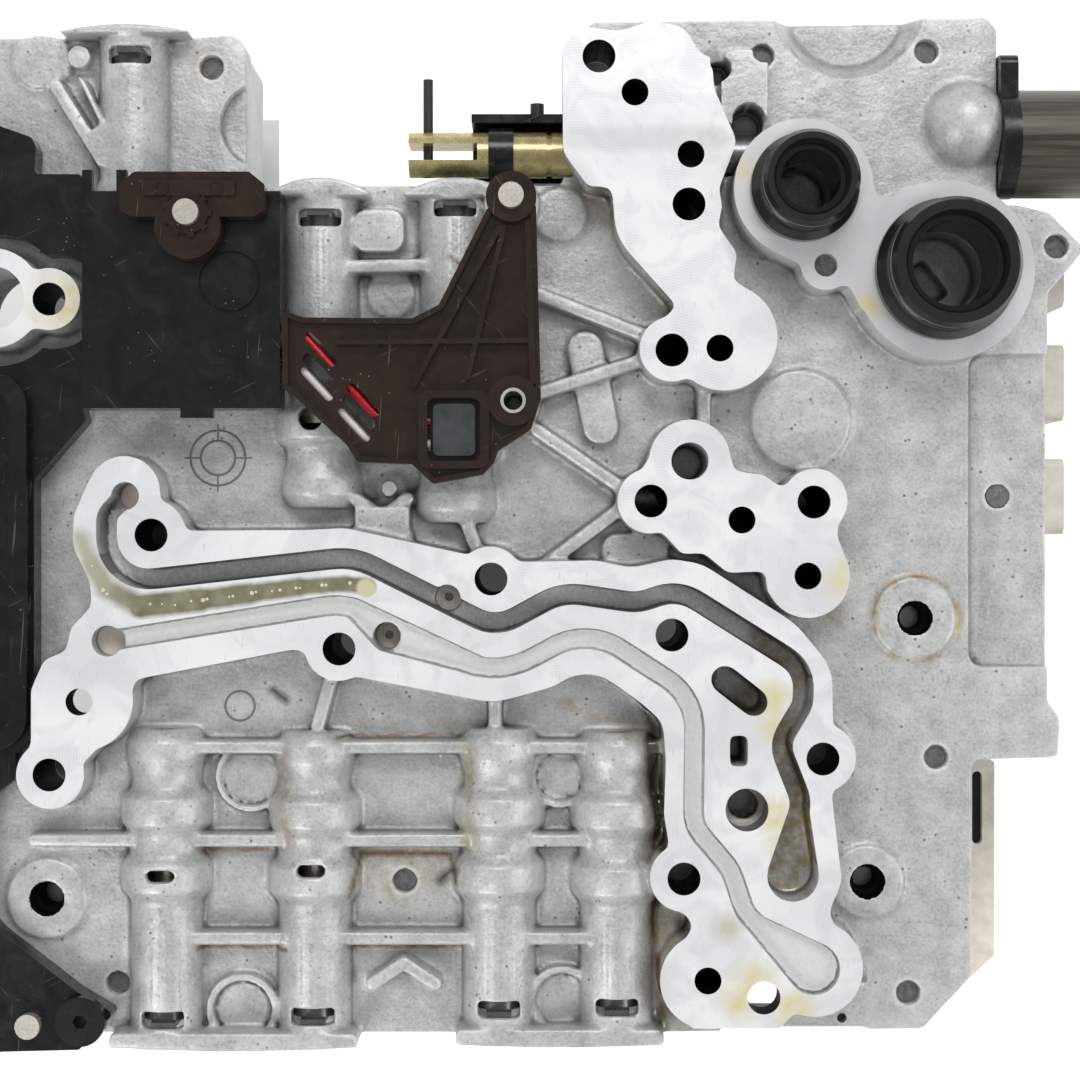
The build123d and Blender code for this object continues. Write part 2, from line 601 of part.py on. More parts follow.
with BuildPart() as pressure_regulators:
    for side, face in ((1, block_right), (-1, block_left)):
        for y in regulator_ys:
            with BuildSketch(Plane.YZ.offset(face)):
                with Locations((y, regulator_r)):
                    Circle(nose_r - 0.1)
            extrude(amount=-side * nose_l)
            with BuildSketch(Plane.YZ.offset(face)):
                with Locations((y, regulator_r)):
                    Circle(regulator_r)
            extrude(amount=side * can_l)
            with BuildSketch(Plane.YZ.offset(face + side * groove_at)):
                with Locations((y, regulator_r)):
                    Circle(regulator_r + 1)
                    Circle(groove_r, mode=Mode.SUBTRACT)
            extrude(amount=side * groove_w, mode=Mode.SUBTRACT)
write(pressure_regulators, "pressure_regulators")

with BuildPart() as regulator_heads:
    for side, face in ((1, block_right), (-1, block_left)):
        for y in regulator_ys:
            with BuildSketch(Plane.YZ.offset(face + side * (can_l + gap))):
                with Locations((y, regulator_r)):
                    RectangleRounded(2 * regulator_r - 5.3, 2 * regulator_r - 4.0, 2.0)
            extrude(amount=side * head_l)
write(regulator_heads, "regulator_heads")

with BuildPart() as regulator_clamps:
    for side, face in ((1, block_right), (-1, block_left)):
        with BuildSketch(Plane.YZ.offset(face + side * (groove_at + 0.2))):
            with Locations((regulator_mid_y, (valve_plate_z + clamp_bottom) / 2)):
                Rectangle(block_width, valve_plate_z - clamp_bottom)
            with Locations(*[(y, regulator_r) for y in regulator_ys]):
                Circle(regulator_r + 0.2)
            with Locations(*[(y, regulator_r) for y in regulator_ys]):
                Circle(groove_r + 0.1, mode=Mode.SUBTRACT)
            with Locations(*[(y, regulator_r - 10) for y in regulator_ys]):
                Rectangle(2 * groove_r + 0.2, 20.0, mode=Mode.SUBTRACT)
        extrude(amount=side * (groove_w - 0.4))
write(regulator_clamps, "regulator_clamps")

with BuildPart() as beige_plate:
    with BuildSketch(Plane.XY.offset(valve_plate_z - 2.2)):
        with BuildLine():
            FilletPolyline((107.6, -49.0), (122.0, -49.0), (122.0, -92.0), (116.5, -97.0), (107.6, -97.0),
                           radius=1.0, close=True)
        make_face()
        with Locations((118.2, -59.5)):
            SlotOverall(16.0, 2.2, rotation=90, mode=Mode.SUBTRACT)
    extrude(amount=2.0)
write(beige_plate, "beige_plate")

with BuildPart() as plate_screws:
    with BuildSketch(Plane.XY.offset(screw_seat_z)):
        with Locations(*screws):
            Circle(screw_r - 0.1)
    extrude(amount=floor_z - 2.0 - screw_seat_z)
    with BuildSketch(Plane.XY.offset(screw_seat_z)):
        with Locations(land_screw):
            Circle(screw_r - 0.1)
    extrude(amount=land_z - 2.0 - screw_seat_z)
    with BuildSketch(Plane.XY.offset(screw_seat_z)):
        with Locations(*screws, land_screw):
            Circle(screw_head_r)
    extrude(amount=-screw_head_h)
    with BuildSketch(Plane.XY.offset(screw_seat_z - screw_head_h)):
        with Locations(*screws, land_screw):
            RegularPolygon(2.3, 6)
    extrude(amount=1.8, mode=Mode.SUBTRACT)
write(plate_screws, "plate_screws")


def seal_solid(at, radius, bore, name):
    """Rubber bridge seal: a tube seated in the land, with a collar and a groove near its top."""
    low, high = land_z - seal_seat_depth, land_z + seal_h
    with BuildPart() as seal:
        with BuildSketch(Plane.XZ.offset(-at[1])):
            with BuildLine():
                Polyline((at[0] + bore, low), (at[0] + radius - 0.05, low), (at[0] + radius - 0.05, land_z),
                         (at[0] + radius + 1.1, land_z), (at[0] + radius + 1.1, land_z + 2.4),
                         (at[0] + radius - 0.2, land_z + 4.0), (at[0] + radius - 0.2, high - 4.0),
                         (at[0] + radius - 0.8, high - 3.7), (at[0] + radius - 0.8, high - 2.9),
                         (at[0] + radius - 0.2, high - 2.6), (at[0] + radius - 0.2, high - 1.2),
                         (at[0] + radius - 1.0, high), (at[0] + bore + 0.5, high), (at[0] + bore, high - 0.8),
                         close=True)
            make_face()
        revolve(axis=Axis((at[0], at[1], 0), (0, 0, 1)))
    write(seal, name)


def sleeve_solid(at, bore, name):
    """Steel sleeve pressed into a bridge seal."""
    with BuildPart() as sleeve:
        with BuildSketch(Plane.XY.offset(land_z - seal_seat_depth)):
            with Locations(at):
                Circle(bore - 0.02)
                Circle(bore - sleeve_t, mode=Mode.SUBTRACT)
        extrude(amount=seal_seat_depth + seal_h - 2.5)
    write(sleeve, name)


seal_solid(small_seal_at, small_seal_r, small_seal_bore_r, "small_bridge_seal")
seal_solid(large_seal_at, large_seal_r, large_seal_bore_r, "large_bridge_seal")
sleeve_solid(small_seal_at, small_seal_bore_r, "small_seal_sleeve")
sleeve_solid(large_seal_at, large_seal_bore_r, "large_seal_sleeve")

with BuildPart() as orifice_inserts:
    with BuildSketch(Plane.XY.offset(land_z - channel_depth - insert_t)):
        for place in (insert_a, insert_b):
            with Locations(place):
                Circle(insert_r - 0.03)
                Circle(0.9, mode=Mode.SUBTRACT)
    extrude(amount=insert_t - 0.3)
write(orifice_inserts, "orifice_inserts")

# Spools, springs, plugs and clips of the valve bores
for letter, bore in bores.items():
    length = bore_length(bore)
    start = 3.0 + spring_room + 0.2
    end = length - mouth_insets[letter] - clip_t - plug_l - 0.1
    land_l = 0.24 * (end - start)
    middle = (start + end) / 2
    r, neck = bore_r - spool_clear, spool_neck_r
    with BuildPart() as spool:
        revolve(profiles=turned(bore, [
            (start, r), (start + land_l, r), (start + land_l, neck), (middle - land_l / 2, neck),
            (middle - land_l / 2, r), (middle + land_l / 2, r), (middle + land_l / 2, neck), (end - land_l, neck),
            (end - land_l, r), (end, r)]), axis=bore_axis(bore))
    write(spool, f"valve_spool_{letter}")
    with BuildPart() as spring:
        revolve(profiles=turned(bore, [(3.1, spring_r), (3.0 + spring_room, spring_r)], inner=spring_inner_r),
                axis=bore_axis(bore))
    write(spring, f"valve_spring_{letter}")

with BuildPart() as bore_plugs:
    for letter, bore in bores.items():
        end = bore_length(bore) - mouth_insets[letter] - clip_t
        revolve(profiles=turned(bore, [(end - plug_l, bore_r - spool_clear), (end - 3.4, bore_r - spool_clear),
                                       (end - 3.4, bore_r - 0.9), (end - 1.8, bore_r - 0.9),
                                       (end - 1.8, bore_r - spool_clear), (end, bore_r - spool_clear)]),
                axis=bore_axis(bore))
write(bore_plugs, "bore_plugs")

with BuildPart() as plug_clips:
    with BuildSketch(Plane.XY.offset(bore_z - clip_reach)):
        for letter, (x, mouth, blind, side) in bores.items():
            with Locations((x, mouth - side * (mouth_insets[letter] + clip_t / 2))):
                Rectangle(clip_w, clip_t - 0.04)
    extrude(amount=flange_top - 1.2 - bore_z + clip_reach)
write(plug_clips, "plug_clips")

# Park piston: forked rod with its pin and band, its return spring, and the carrier it runs over
fork_tip = -4.8
fork_slot_w = 3.4
pin_x = -1.0
band_x = 11.5
band_w = 5.1
with BuildPart() as park_piston:
    with BuildSketch(Plane.YZ.offset(fork_tip)):
        with Locations((piston_y, piston_z)):
            Circle(piston_r)
    extrude(amount=piston_tail - fork_tip)
    with BuildSketch(Plane.XY.offset(piston_z - 6)):
        with Locations(((fork_tip + 9.2) / 2 - 1, piston_y)):
            Rectangle(9.2 - fork_tip + 2, fork_slot_w)
    extrude(amount=12, mode=Mode.SUBTRACT)
    with BuildSketch(Plane.YZ.offset(23.4)):
        with Locations((piston_y, piston_z)):
            Circle(piston_r + 1)
            Circle(piston_r - 0.4, mode=Mode.SUBTRACT)
    extrude(amount=1.0, mode=Mode.SUBTRACT)
    with BuildSketch(Plane.XZ.offset(-piston_y - 6)):
        with Locations((pin_x, piston_z)):
            Circle(1.05)
    extrude(amount=12, mode=Mode.SUBTRACT)
write(park_piston, "park_piston")

with BuildPart() as park_cross_pin:
    with BuildSketch(Plane.XZ.offset(-94.0)):
        with Locations((pin_x, piston_z)):
            Circle(1.0)
    extrude(amount=94.0 - 75.0)
write(park_cross_pin, "park_cross_pin")

with BuildPart() as park_band:
    with BuildSketch(Plane.YZ.offset(band_x)):
        with Locations((piston_y, piston_z)):
            Circle(piston_r + band_t)
            Circle(piston_r + 0.02, mode=Mode.SUBTRACT)
    extrude(amount=band_w)
write(park_band, "park_band")

with BuildPart() as park_spring:
    with BuildSketch(Plane.YZ.offset(piston_tail + 0.1)):
        with Locations((piston_y, piston_z)):
            Circle(piston_r - 0.5)
            Circle(piston_r - 1.7, mode=Mode.SUBTRACT)
    extrude(amount=piston_bore_end - piston_tail - 0.2)
write(park_spring, "park_spring")

carrier_left = 8.0
shelf_t = 2.8
shelf_z = piston_z - piston_r - band_t - band_gap - shelf_t
shelf_low = piston_y - piston_r - 0.1
carrier_wall_t = 1.8
carrier_high = piston_y + piston_r + band_t + 0.5 + carrier_wall_t
with BuildPart() as park_carrier:
    with BuildSketch(Plane.XY.offset(shelf_z)):
        with Locations(((carrier_left + pad_edge) / 2, (shelf_low + carrier_high) / 2)):
            Rectangle(pad_edge - carrier_left, carrier_high - shelf_low)
    extrude(amount=shelf_t)
    with BuildSketch(Plane.XY.offset(shelf_z)):
        with Locations(((carrier_left + pad_edge) / 2, carrier_high - carrier_wall_t / 2)):
            Rectangle(pad_edge - carrier_left, carrier_wall_t)
    extrude(amount=12.0)
write(park_carrier, "park_carrier")

with BuildPart() as park_latch_pin:
    with BuildSketch(Plane.XZ.offset(-carrier_high - 2.6)):
        with Locations((21.4, piston_z)):
            Circle(1.4)
    extrude(amount=2.55)
write(park_latch_pin, "park_latch_pin")

with BuildPart() as park_solenoid_ring:
    with BuildSketch(Plane.YZ.offset(plate_edge)):
        with Locations((park_can_y, park_can_z)):
            Circle(park_can_r + 0.2)
        with Locations((park_can_y + 8.6, park_can_z)):
            RectangleRounded(17.2, 15.0, 2.0)
        with Locations((park_can_y, park_can_z)):
            Circle(plunger_r + gap, mode=Mode.SUBTRACT)
    extrude(amount=ring_t)
write(park_solenoid_ring, "park_solenoid_ring")

with BuildPart() as park_solenoid_can:
    with BuildSketch(Plane.YZ.offset(plate_edge + ring_t)):
        with Locations((park_can_y, park_can_z)):
            Circle(park_can_r)
    extrude(amount=park_can_end - plate_edge - ring_t)
    chamfer(park_solenoid_can.edges().group_by(Axis.X)[-1], 1.5)
    with BuildSketch(Plane.YZ.offset(plate_edge + ring_t)):
        with Locations((park_can_y, park_can_z)):
            Circle(plunger_r + 0.05)
    extrude(amount=28.0, mode=Mode.SUBTRACT)
write(park_solenoid_can, "park_solenoid_can")

with BuildPart() as park_plunger:
    with BuildSketch(Plane.YZ.offset(plate_edge - plunger_reach)):
        with Locations((park_can_y, park_can_z)):
            Circle(plunger_r)
    extrude(amount=plunger_reach + ring_t + 24.0)
write(park_plunger, "park_plunger")

# Control module: housing with a frame over the casting, heat plate, connector, cover, sensors
module_top = floor_z + frame_h
frame_points = [
    (module_left, 60.0), (module_left + 20, 84.0), (-87.1, 83.0), (-80.8, 80.8), (-79.8, 78.8), (-80.2, 73.3),
    (-70.5, 73.3), (-70.5, 26.1), (-69.7, 23.6), (-80.2, 11.5), (-80.2, -40.5), (-84.0, -43.5), (-84.0, -49.0), (-91.1, -54.0),
    (-91.1, -75.3), (-87.1, -79.8), (-71.5, -91.9), (-64.1, -96.3), (-71.1, -103.6), (-87.0, -104.0), (-95.0, -106.6),
    (-135.0, -106.6), (module_left, -90.0)]
with BuildPart() as control_module_housing:
    with BuildSketch(Plane.XY.offset(floor_z + gap)):
        add(rounded(frame_points, 1.0))
        with Locations(end_port_at):
            Circle(13.3, mode=Mode.SUBTRACT)
        with Locations(end_land_bolt):
            Circle(9.6, mode=Mode.SUBTRACT)
    extrude(amount=module_top - floor_z - gap)
    with BuildSketch(Plane.XY.offset(heat_plate_t)):
        with Locations(((module_left + casting_step) / 2 - gap, -33.0)):
            RectangleRounded(casting_step - module_left - 2 * gap, 134.0, 6.0)
    extrude(amount=module_top - heat_plate_t)
    with BuildSketch(Plane.XY.offset(module_top)):
        with Locations(((module_left - 81.0) / 2, -5.0)):
            RectangleRounded(-81.0 - module_left, 76.0, 7.0)
            RectangleRounded(-88.0 - module_left, 69.0, 4.0, mode=Mode.SUBTRACT)
    extrude(amount=3.0)
    with BuildSketch(Plane.YZ.offset(module_left)):
        with Locations((connector_y, connector_z)):
            Circle(connector_r)
    extrude(amount=9.0, mode=Mode.SUBTRACT)
    for x, y in foot_pins + foot_screws:
        with Locations((x, y, module_top)):
            Hole(pin_r + 0.05, depth=frame_h + 1)
write(control_module_housing, "control_module_housing")

with BuildPart() as module_heat_plate:
    with BuildSketch(Plane.XY):
        with Locations(((module_left + casting_step) / 2, -33.0)):
            RectangleRounded(casting_step - module_left - 6.0, 124.0, 5.0)
    extrude(amount=heat_plate_t)
write(module_heat_plate, "module_heat_plate")

cover_left, cover_low, cover_high = -68.7, 25.5, 68.5
cover_base_z = module_top + gap
cover_right = bores["f"][0] - (chamber_wall_r ** 2 - (cover_base_z - bore_z) ** 2) ** 0.5 - 0.4
with BuildPart() as module_cover:
    with BuildSketch(Plane.XY.offset(module_top + gap)):
        with Locations(((cover_left + cover_right) / 2, (cover_low + cover_high) / 2)):
            Rectangle(cover_right - cover_left, cover_high - cover_low)
    extrude(amount=cover_top - module_top - gap)
    with BuildSketch(Plane.XY.offset(module_top + gap)):
        with Locations(((cover_left + cover_right) / 2, (cover_low + cover_high) / 2)):
            Rectangle(cover_right - cover_left - 2 * cover_wall, cover_high - cover_low - 2 * cover_wall)
    extrude(amount=cover_top - module_top - gap - cover_wall, mode=Mode.SUBTRACT)
    with BuildSketch(Plane.XY.offset(module_top)):
        with Locations((bores["e"][0], cover_high)):
            Rectangle(19.0, 8.0)
    extrude(amount=cover_notch_z - module_top, mode=Mode.SUBTRACT)
    with BuildSketch(Plane.XY.offset(cover_top - cover_wall)):
        with Locations((-67.7, 70.5), (-60.9, 70.5)):
            Rectangle(2.0, 4.4)
        with Locations((-46.0, cover_low - 0.8)):
            Rectangle(6.4, 2.2)
    extrude(amount=cover_wall)
    with BuildSketch(Plane.XY.offset(cover_top)):
        with Locations((-39.4, 50.5)):
            Circle(6.2)
            Circle(5.6, mode=Mode.SUBTRACT)
    extrude(amount=-0.6, mode=Mode.SUBTRACT)
write(module_cover, "module_cover")

with BuildPart() as second_sensor:
    with BuildSketch(Plane.XY.offset(cover_top + gap)):
        with BuildLine():
            FilletPolyline((-60.3, 64.0), (-60.3, 69.0), (-57.5, 71.5), (-35.0, 71.5), (-31.9, 69.0), (-31.9, 64.0),
                           (-34.0, 62.7), (-58.0, 62.7), radius=0.6, close=True)
        make_face()
        with Locations((-47.0, 60.9)):
            Circle(6.5)
    extrude(amount=sensor_t)
    with BuildSketch(Plane.XY.offset(cover_top + gap + sensor_t)):
        with Locations((-46.6, 68.2)):
            Rectangle(18.0, 3.0)
        with Locations((-47.0, 63.3)):
            Circle(4.1)
            with PolarLocations(4.0, 9):
                Rectangle(1.6, 1.3)
    extrude(amount=0.9)
    with BuildSketch(Plane.XY.offset(cover_top + gap + sensor_t + 0.9)):
        with Locations((-51.9, 68.2), (-41.3, 68.2)):
            Circle(1.4)
            Circle(1.1, mode=Mode.SUBTRACT)
    extrude(amount=0.3)
    with Locations((-47.0, 63.3, cover_top + gap + sensor_t + 0.9)):
        Hole(pin_r + 0.03, depth=3.9)
write(second_sensor, "second_sensor")

arm_points = [(21.2, 66.0), (22.2, 27.5), (20.2, 21.2), (13.7, 17.0), (12.9, 14.6), (10.7, 12.3), (0.8, 10.5),
              (-3.3, 14.4), (-14.0, 14.8), (-16.2, 18.2), (-26.5, 27.7), (-28.9, 29.5), (-28.9, 44.9),
              (-24.9, 43.4), (-3.3, 43.2), (2.0, 45.9), (11.6, 65.0)]
windows = [(-21.6, 37.2), (-21.9, 33.0), (-22.2, 30.4), (-13.2, 27.1), (-13.9, 24.8), (-14.9, 22.2)]
red_route = [(-29.2, 41.8), (-26.2, 41.4), (-10.8, 24.2), (-4.0, 23.0), (0.2, 23.0)]
white_route = [(-29.2, 34.6), (-26.4, 34.6), (-12.2, 19.4), (-4.0, 18.4), (0.2, 18.4)]
lead_z = arm_z + 1.3
chip_at = (5.0, 21.2)
with BuildPart() as speed_sensor_arm:
    with BuildSketch(Plane.XY.offset(arm_z)):
        add(rounded(arm_points, 1.0))
        with Locations((16.3, 67.2), (16.7, 26.9)):
            Circle(5.0)
    extrude(amount=arm_t)
    with BuildSketch(Plane.XY.offset(arm_seat_z)):
        with Locations((16.3, 67.2), (16.7, 26.9)):
            Circle(5.0)
    extrude(amount=arm_z + arm_t + arm_rib_h - arm_seat_z)
    with BuildSketch(Plane.XY.offset(arm_z + arm_t)):
        add(rounded(arm_points, 1.0))
        add(rounded(arm_points, 1.0, inset=arm_rim_w), mode=Mode.SUBTRACT)
    extrude(amount=arm_rim_h)
    with BuildSketch(Plane.XY.offset(arm_z + 1)):
        bar((-18.0, 38.4), (20.2, 38.8), 1.0)
        bar((-2.8, 30.1), (14.0, 61.0), 1.0)
        bar((7.7, 31.5), (14.8, 61.0), 1.0)
        bar((19.6, 62.0), (20.6, 30.7), 1.2)
    extrude(amount=arm_t - 1 + arm_rib_h)
    with BuildSketch(Plane.XY.offset(arm_z + arm_t)):
        with Locations(chip_at):
            RectangleRounded(14.0, 15.4, 2.0)
    extrude(amount=arm_rib_h)
    with BuildSketch(Plane.XY.offset(arm_z + 1.0)):
        with Locations(chip_at):
            RectangleRounded(10.4, 12.4, 1.5)
    extrude(amount=10, mode=Mode.SUBTRACT)
    with BuildSketch(Plane.XY.offset(arm_z)):
        with Locations(*windows):
            SlotOverall(8.6, 1.9, rotation=-47)
    extrude(amount=arm_t, mode=Mode.SUBTRACT)
    for route in (red_route, white_route):
        with BuildSketch(Plane.XY.offset(arm_z)):
            with BuildLine():
                FilletPolyline(*route, radius=2.0)
            trace(line_width=2 * lead_r + 0.4)
        extrude(amount=2.5, mode=Mode.SUBTRACT)
    for x, y, r in arm_seats:
        with Locations((x, y, arm_z + arm_t + arm_rib_h)):
            Hole(pin_r + 0.05)
write(speed_sensor_arm, "speed_sensor_arm")

with BuildPart() as sensor_chip:
    with BuildSketch(Plane.XY.offset(arm_z + 1.0)):
        with Locations(chip_at):
            RectangleRounded(8.3, 10.3, 1.2)
    extrude(amount=3.6)
write(sensor_chip, "sensor_chip")

for route, name in ((red_route, "sensor_lead_red"), (white_route, "sensor_lead_white")):
    with BuildPart() as lead:
        with BuildLine(Plane.XY.offset(lead_z)) as line:
            FilletPolyline(*route, radius=2.0)
        with BuildSketch(Plane(origin=line.line @ 0, z_dir=line.line % 0)):
            Circle(lead_r)
        sweep(path=line.line)
    write(lead, name)

with BuildPart() as sensor_bush:
    with BuildSketch(Plane.XY.offset(arm_seat_z - 6)):
        with Locations(arm_seats[1][:2]):
            Circle(pin_r)
            Circle(pin_r - 0.6, mode=Mode.SUBTRACT)
    extrude(amount=arm_z + arm_t + arm_rib_h + 0.4 - arm_seat_z + 6)
write(sensor_bush, "sensor_bush")

with BuildPart() as locating_pins:
    with BuildSketch(Plane.XY.offset(arm_seat_z - 7)):
        with Locations(arm_seats[0][:2]):
            Circle(pin_r)
    extrude(amount=arm_z + arm_t + arm_rib_h + 2.0 - arm_seat_z + 7)
    with BuildSketch(Plane.XY.offset(cover_top + gap + 1.6)):
        with Locations((-47.0, 63.3)):
            Circle(pin_r)
    extrude(amount=5.4)
    with BuildSketch(Plane.XY.offset(module_top - 7.8)):
        with Locations(*foot_pins):
            Circle(pin_r)
    extrude(amount=10.0)
write(locating_pins, "locating_pins")

with BuildPart() as module_screws:
    with BuildSketch(Plane.XY.offset(module_top - 7.8)):
        with Locations(*foot_screws):
            Circle(pin_r)
    extrude(amount=7.8)
    with BuildSketch(Plane.XY.offset(module_top)):
        with Locations(*foot_screws):
            Circle(2 * pin_r)
            RegularPolygon(1.5, 6, mode=Mode.SUBTRACT)
    extrude(amount=2.2)
write(module_screws, "module_screws")

# Round connector in the module's end wall, with its O-ring
with BuildPart() as connector_sleeve:
    with BuildSketch(Plane.YZ.offset(connector_end)):
        with Locations((connector_y, connector_z)):
            Circle(connector_r - gap)
            Circle(connector_r - 3.0, mode=Mode.SUBTRACT)
    extrude(amount=module_left + 8.0 - connector_end)
    with BuildSketch(Plane.YZ.offset(module_left + 8.0)):
        with Locations((connector_y, connector_z)):
            Circle(connector_r - gap)
    extrude(amount=1.0)
    with BuildSketch(Plane.YZ.offset(connector_end + 3.0)):
        with Locations((connector_y, connector_z)):
            Circle(connector_r)
            Circle(connector_r - 1.8, mode=Mode.SUBTRACT)
    extrude(amount=2.4, mode=Mode.SUBTRACT)
write(connector_sleeve, "connector_sleeve")

with BuildPart() as connector_ring:
    with BuildSketch(Plane.YZ.offset(connector_end + 3.2)):
        with Locations((connector_y, connector_z)):
            Circle(connector_r + 0.3)
            Circle(connector_r - 1.78, mode=Mode.SUBTRACT)
    extrude(amount=2.0)
write(connector_ring, "connector_ring")

with BuildPart() as connector_pins:
    with BuildSketch(Plane.YZ.offset(module_left + 8.0 - connector_pin_l)):
        with Locations((connector_y, connector_z)):
            with GridLocations(4.4, 4.4, 4, 4):
                Circle(0.7)
    extrude(amount=connector_pin_l)
write(connector_pins, "connector_pins")
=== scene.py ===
import math

import bmesh
import bpy
import numpy as np
from mathutils import Matrix, Vector


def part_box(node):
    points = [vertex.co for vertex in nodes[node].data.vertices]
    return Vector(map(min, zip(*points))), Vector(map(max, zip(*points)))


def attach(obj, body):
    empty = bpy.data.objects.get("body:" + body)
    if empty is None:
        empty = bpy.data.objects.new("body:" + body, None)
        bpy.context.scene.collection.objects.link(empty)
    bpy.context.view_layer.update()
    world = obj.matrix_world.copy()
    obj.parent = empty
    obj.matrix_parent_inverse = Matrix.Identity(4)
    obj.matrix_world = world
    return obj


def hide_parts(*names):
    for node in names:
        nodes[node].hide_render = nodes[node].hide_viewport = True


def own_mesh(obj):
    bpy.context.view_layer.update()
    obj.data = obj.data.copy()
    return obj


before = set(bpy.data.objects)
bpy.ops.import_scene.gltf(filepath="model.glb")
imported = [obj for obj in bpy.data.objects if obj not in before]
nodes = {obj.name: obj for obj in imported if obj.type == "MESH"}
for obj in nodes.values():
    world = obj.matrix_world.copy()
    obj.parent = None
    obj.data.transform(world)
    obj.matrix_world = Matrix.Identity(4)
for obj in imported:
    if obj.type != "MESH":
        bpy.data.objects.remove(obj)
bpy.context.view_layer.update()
scene = bpy.context.scene

# Lengths are in millimetres, and MM makes them metres
MM = 0.001
LAND = 60.0
WEB = 50.0
SHALLOW = LAND - 2.2
BORE_R = 4.8
BORE_Z = 49.5

# The picture: its side in pixels, millimetres a pixel at the lands, and the camera over the lands
PHOTO_SIDE = 1080
PHOTO_PX = 0.2
CAMERA_X = 22.0
CAMERA_Y = -0.6
CAMERA_RISE = 400.0
SENSOR = 36.0


def add_camera():
    """Camera straight above the sealing face, which sees the picture's whole frame."""
    half_field = PHOTO_PX * PHOTO_SIDE / 2 / CAMERA_RISE
    data = bpy.data.cameras.new("camera")
    data.sensor_width = SENSOR
    data.lens = SENSOR / 2 / half_field
    data.clip_start = 0.01
    data.clip_end = 20.0
    camera = bpy.data.objects.new("camera", data)
    camera.location = (CAMERA_X * MM, CAMERA_Y * MM, (LAND + CAMERA_RISE) * MM)
    scene.collection.objects.link(camera)
    scene.camera = camera


add_camera()


def seen_at(px, py, level):
    """Place of a point that the picture shows at px, py and that lies at that level."""
    scale = PHOTO_PX * (1 + (LAND - level) / CAMERA_RISE)
    return (px - PHOTO_SIDE / 2) * scale + CAMERA_X, (PHOTO_SIDE / 2 - py) * scale + CAMERA_Y


def web(px, py):
    """Place on the web, to a tenth of a millimetre."""
    x, y = seen_at(px, py, WEB)
    return round(x, 1), round(y, 1)


def stains(level, specs):
    """Stains whose places are pixels of the picture, moved to millimetres at that level."""
    made = []
    for spec in specs:
        count = 4 if len(spec) == 6 else 2
        places = []
        for px, py in zip(spec[0:count:2], spec[1:count:2]):
            x, y = seen_at(px, py, level)
            places += [round(x, 1), round(y, 1)]
        made.append((*places, *spec[count:]))
    return made


# Machined holes of the casting: x, y, radius, low z
BOLT_HOLES = [(x, y, 3.3, 40.5) for x, y in [
    (-55.8, 0.4), (-76.2, -47.6), (-18.2, -22.4), (12.2, -8.4), (48.4, -19.6), (78.6, -44.4), (50.8, -68.4),
    (66.8, -92.2), (33.8, 96.2), (51.8, 66.6), (48.4, 37.4), (44.2, 7.2), (76.8, 7.0), (-76.2, 47.6)]]
DOWEL_THROUGH = (-70.2, -33.0, 2.7, 40.5)
SMALL_HOLES = [(-24.1, 24.0, 2.5, 45), (64.4, 84.7, 3.3, 45), (58.4, 95.0, 2.4, 45), (79.2, 54.4, 2.0, 50),
               (*web(842, 1018), 1.0, 47)]
DOWEL_HOLES = [(x, y, 2.7, 48.2) for x, y in [
    (55.6, -88.8), (41.0, 89.0), (58.0, 37.8), (62.4, 3.4), (75.6, -7.8)]] + [(52.2, 76.6, 2.7, 55.5)]
CHANNEL_PORTS = [(-61.0, 8.2, 2.8, 50.6), (-64.6, -20.8, 3.1, 54.5)]
INSERT_PORTS = [(3.4, -12.2, 2.7, 50), (-8.8, -19.8, 2.7, 50)]
ROUND_SEATS = [(-87.6, 47.8, 6.4, 40.5), (74.8, 69.8, 9.7, 54.5), (103.0, 53.4, 13.0, 54.5)]
STEPPED_PORT = [(63.4, -54.6, 4.3, 52), (63.4, -54.6, 2.8, 40.5)]
BOSS_HOLES = [(x, y, 3.5, 46.5) for x, y in [(98.7, -16.6), (89.0, -70.5), (-78.9, -74.0)]]
SCREW_HOLES = [(x, y, 2.4, 40.5) for x, y in [
    (-45.3, 96.3), (67.5, 98.7), (101.2, 99.6), (127.9, 59.6), (116.2, 8.4), (103.2, -45.1), (97.5, -93.4),
    (-5.7, -70.4), (-64.5, -91.4)]]
DRILLED = (BOLT_HOLES + [DOWEL_THROUGH] + SMALL_HOLES + DOWEL_HOLES + CHANNEL_PORTS + INSERT_PORTS
           + ROUND_SEATS + STEPPED_PORT + BOSS_HOLES + SCREW_HOLES)
SLOT_FLOOR = (*web(745, 690), 6.0, 42)

# Valve bores: x, y of the mouth, y of the inner end
BORES = [(-54.3, -104, -39.0), (-24.0, -104, -39.6), (13.7, -104, -39.0), (37.6, -104, -39.6),
         (-61.0, 106, 66.0), (-22.6, 73, 6.0), (4.8, 73, 3.0)]

# Details that the CAD plate doesn't have: x, y, low z, high z, length, width, turn in degrees
RIB_GAP = (*web(88, 105), WEB + 0.1, LAND + 2, 12.0, 2.2, -64.0)
STAR_BOSS = (*web(384, 528), WEB - 4, 55.6, 11.0, 8.4)
LOWER_EDGE = (74.3, -98.4, WEB - 4, WEB - 0.1, 33.0, 4.2)
LOWER_CORNER = (88.0, -95.9, WEB - 4, WEB - 0.1, 8.4, 9.2)
POCKET_AT = web(848, 2)
POCKET_FLOOR = 45.2
POCKET_R = (12.2, 16.4)
DOME = (*web(966, 125), 48.8)
DOME_R = 8.6
SHORT_FLANGE_X = -44
SHORT_FLANGE_Y = 101.5
PLUG_FOOT = 42
MILL_STOCK = 1.2
VOXEL = 0.42
ROUNDS = 13
MOST_TRIANGLES = 165000

